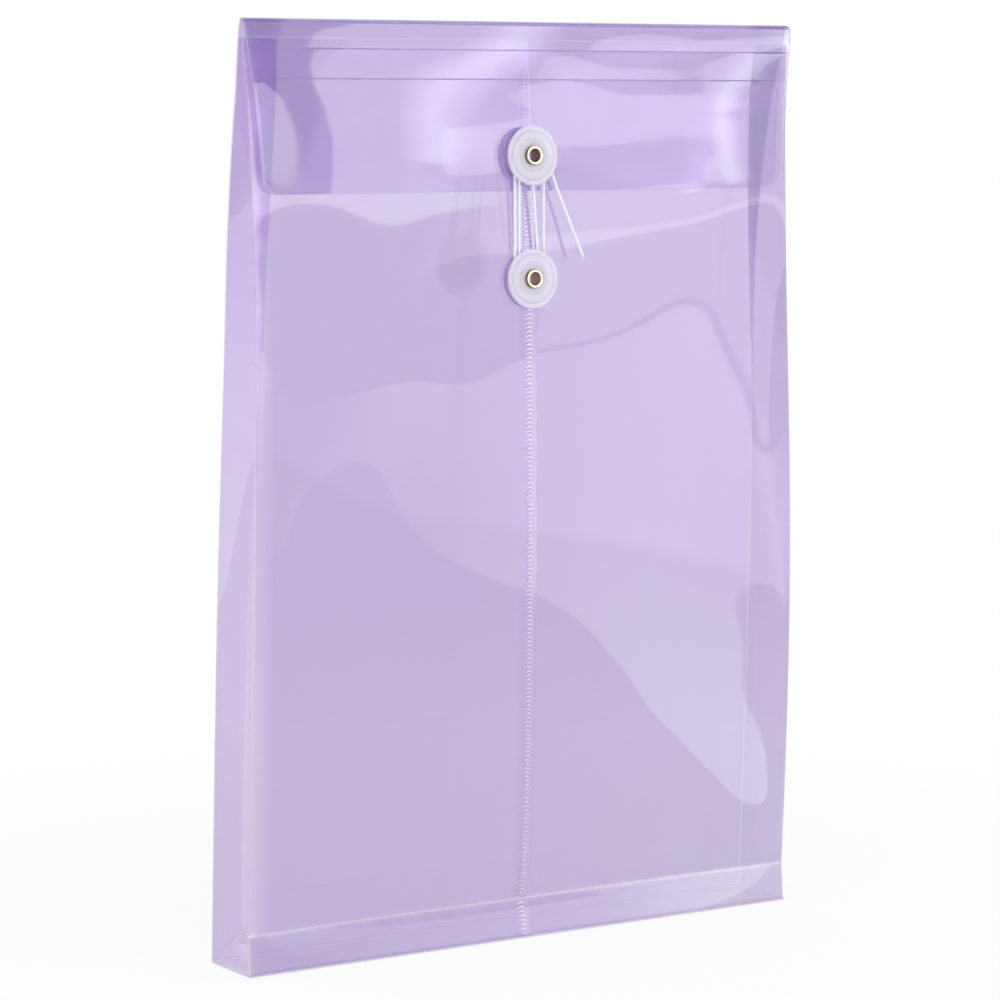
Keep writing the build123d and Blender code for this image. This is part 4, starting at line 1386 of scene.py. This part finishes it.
AMBIENT = 0.62
world = bpy.data.worlds.new("surround")
bpy.context.scene.world = world
world.use_nodes = True
tree = world.node_tree
tree.nodes.clear()
level = add(tree, "ShaderNodeMapRange", {"To Min": AMBIENT, "To Max": 1.0}, {"Value": seen_white(tree)})
glow = add(tree, "ShaderNodeBackground", {"Color": (1, 1, 1, 1)}, {"Strength": level.outputs["Result"]})
add(tree, "ShaderNodeOutputWorld", links={"Surface": glow.outputs["Background"]})
bpy.context.scene.view_settings.view_transform = "Standard"
bpy.context.scene.cycles.transparent_max_bounces = 48
print("floor", 2 * FLOOR_HALF, "m wide, surround", AMBIENT, "of white on the object")

# %% [markdown]
# The lamps are soft boxes on stands, most of them to the right in front, where the sheet mirrors them
# towards the camera. Each one's place is measured on one upright board: across, and up from the floor. A
# low one makes the pale band over the front panel, a wide one the veil on the flap, two narrow ones its
# streaks and a leaning one the light on its left corner. Boxes that overlap stand at different distances,
# because of two lamps in one plane only one would show. A list of shares and levels says how bright a
# box is from its left to its right. One box at the left lights the gusset, and one overhead lights the
# floor and the string.

# %% Lamps
EVEN = ((0, 1), (1, 1))


def soft_box(name, place, target, wide, high, radiance, levels=EVEN, lean=0):
    """Soft box turned to a target, as bright as a white sheet times its radiance, leaning some degrees."""
    lamp = bpy.data.lights.new(name, "AREA")
    lamp.shape = "RECTANGLE"
    lamp.size, lamp.size_y = wide, high
    lamp.energy = radiance * math.pi * wide * high
    lamp.use_nodes = True
    tree = lamp.node_tree
    tree.nodes.clear()
    spot = add(tree, "ShaderNodeNewGeometry").outputs["Parametric"]
    across = add(tree, "ShaderNodeSeparateXYZ", links={0: spot})
    ramp = add(tree, "ShaderNodeValToRGB", links={"Fac": across.outputs["X"]})
    for k, (share, level) in enumerate(levels):
        stop = ramp.color_ramp.elements[k] if k < 2 else ramp.color_ramp.elements.new(share)
        stop.position, stop.color = share, (level, level, level, 1)
    glow = add(tree, "ShaderNodeEmission", {"Strength": 1}, {"Color": ramp.outputs["Color"]})
    add(tree, "ShaderNodeOutputLight", links={"Surface": glow.outputs["Emission"]})
    made = bpy.data.objects.new(name, lamp)
    made.location = place
    facing = (Vector(target) - Vector(place)).to_track_quat("-Z", "Y")
    made.rotation_euler = (facing @ Quaternion((0, 0, 1), math.radians(lean))).to_euler()
    bpy.context.collection.objects.link(made)
    print(name, round(lamp.energy, 2), "W")


def board_box(name, left, right, low, high, radiance, levels=EVEN, away=BOARD_AWAY, lean=0):
    """Soft box on the board, from left to right and from low to high in millimetres."""
    middle = BOARD_WAY * away * MM + BOARD_SIDE * (left + right) / 2 * MM
    middle.z = (low + high) / 2 * MM
    soft_box(name, middle, middle - BOARD_WAY, (right - left) * MM, (high - low) * MM, radiance, levels, lean)


board_box("low_box", -320, 700, *LOW_BOX, 1.7, ((0, 0), (1, 1), (0.158, 0.13), (0.301, 0.58), (0.51, 1)))
board_box("right_box", 40, 220, 190, 290, 1.1)
board_box("corner_box", -320, -126, 314, 560, 2.6, lean=7)
board_box("flap_box", FLAP_BOX_LEFT, 24, 322, 800, 2.5, ((0, 1), (1, 0), (0.6, 1)))
board_box("flap_veil", -36, 300, 280, 800, 1.7, ((0, 0), (1, 1), (0.18, 1)), 810)
board_box("flap_band", 0, 180, *FLAP_BAND, 1.7, ((0, 1), (1, 0), (0.85, 1)), 790)
board_box("left_streak", -28, 16, 360, 800, 2.8, ((0, 0), (1, 0), (0.5, 1)), 780)
board_box("right_streak", 118, 162, 335, 800, 2.4, ((0, 0), (1, 0), (0.5, 1)), 780)
soft_box("left_box", (-0.541, -0.174, 0.2), (-0.124, 0, 0.2), 0.5, 0.39, 1.0)
soft_box("top_box", (-0.2, -0.4, 1.6), (0, 0, 0), 1.4, 1.4, 0.9)
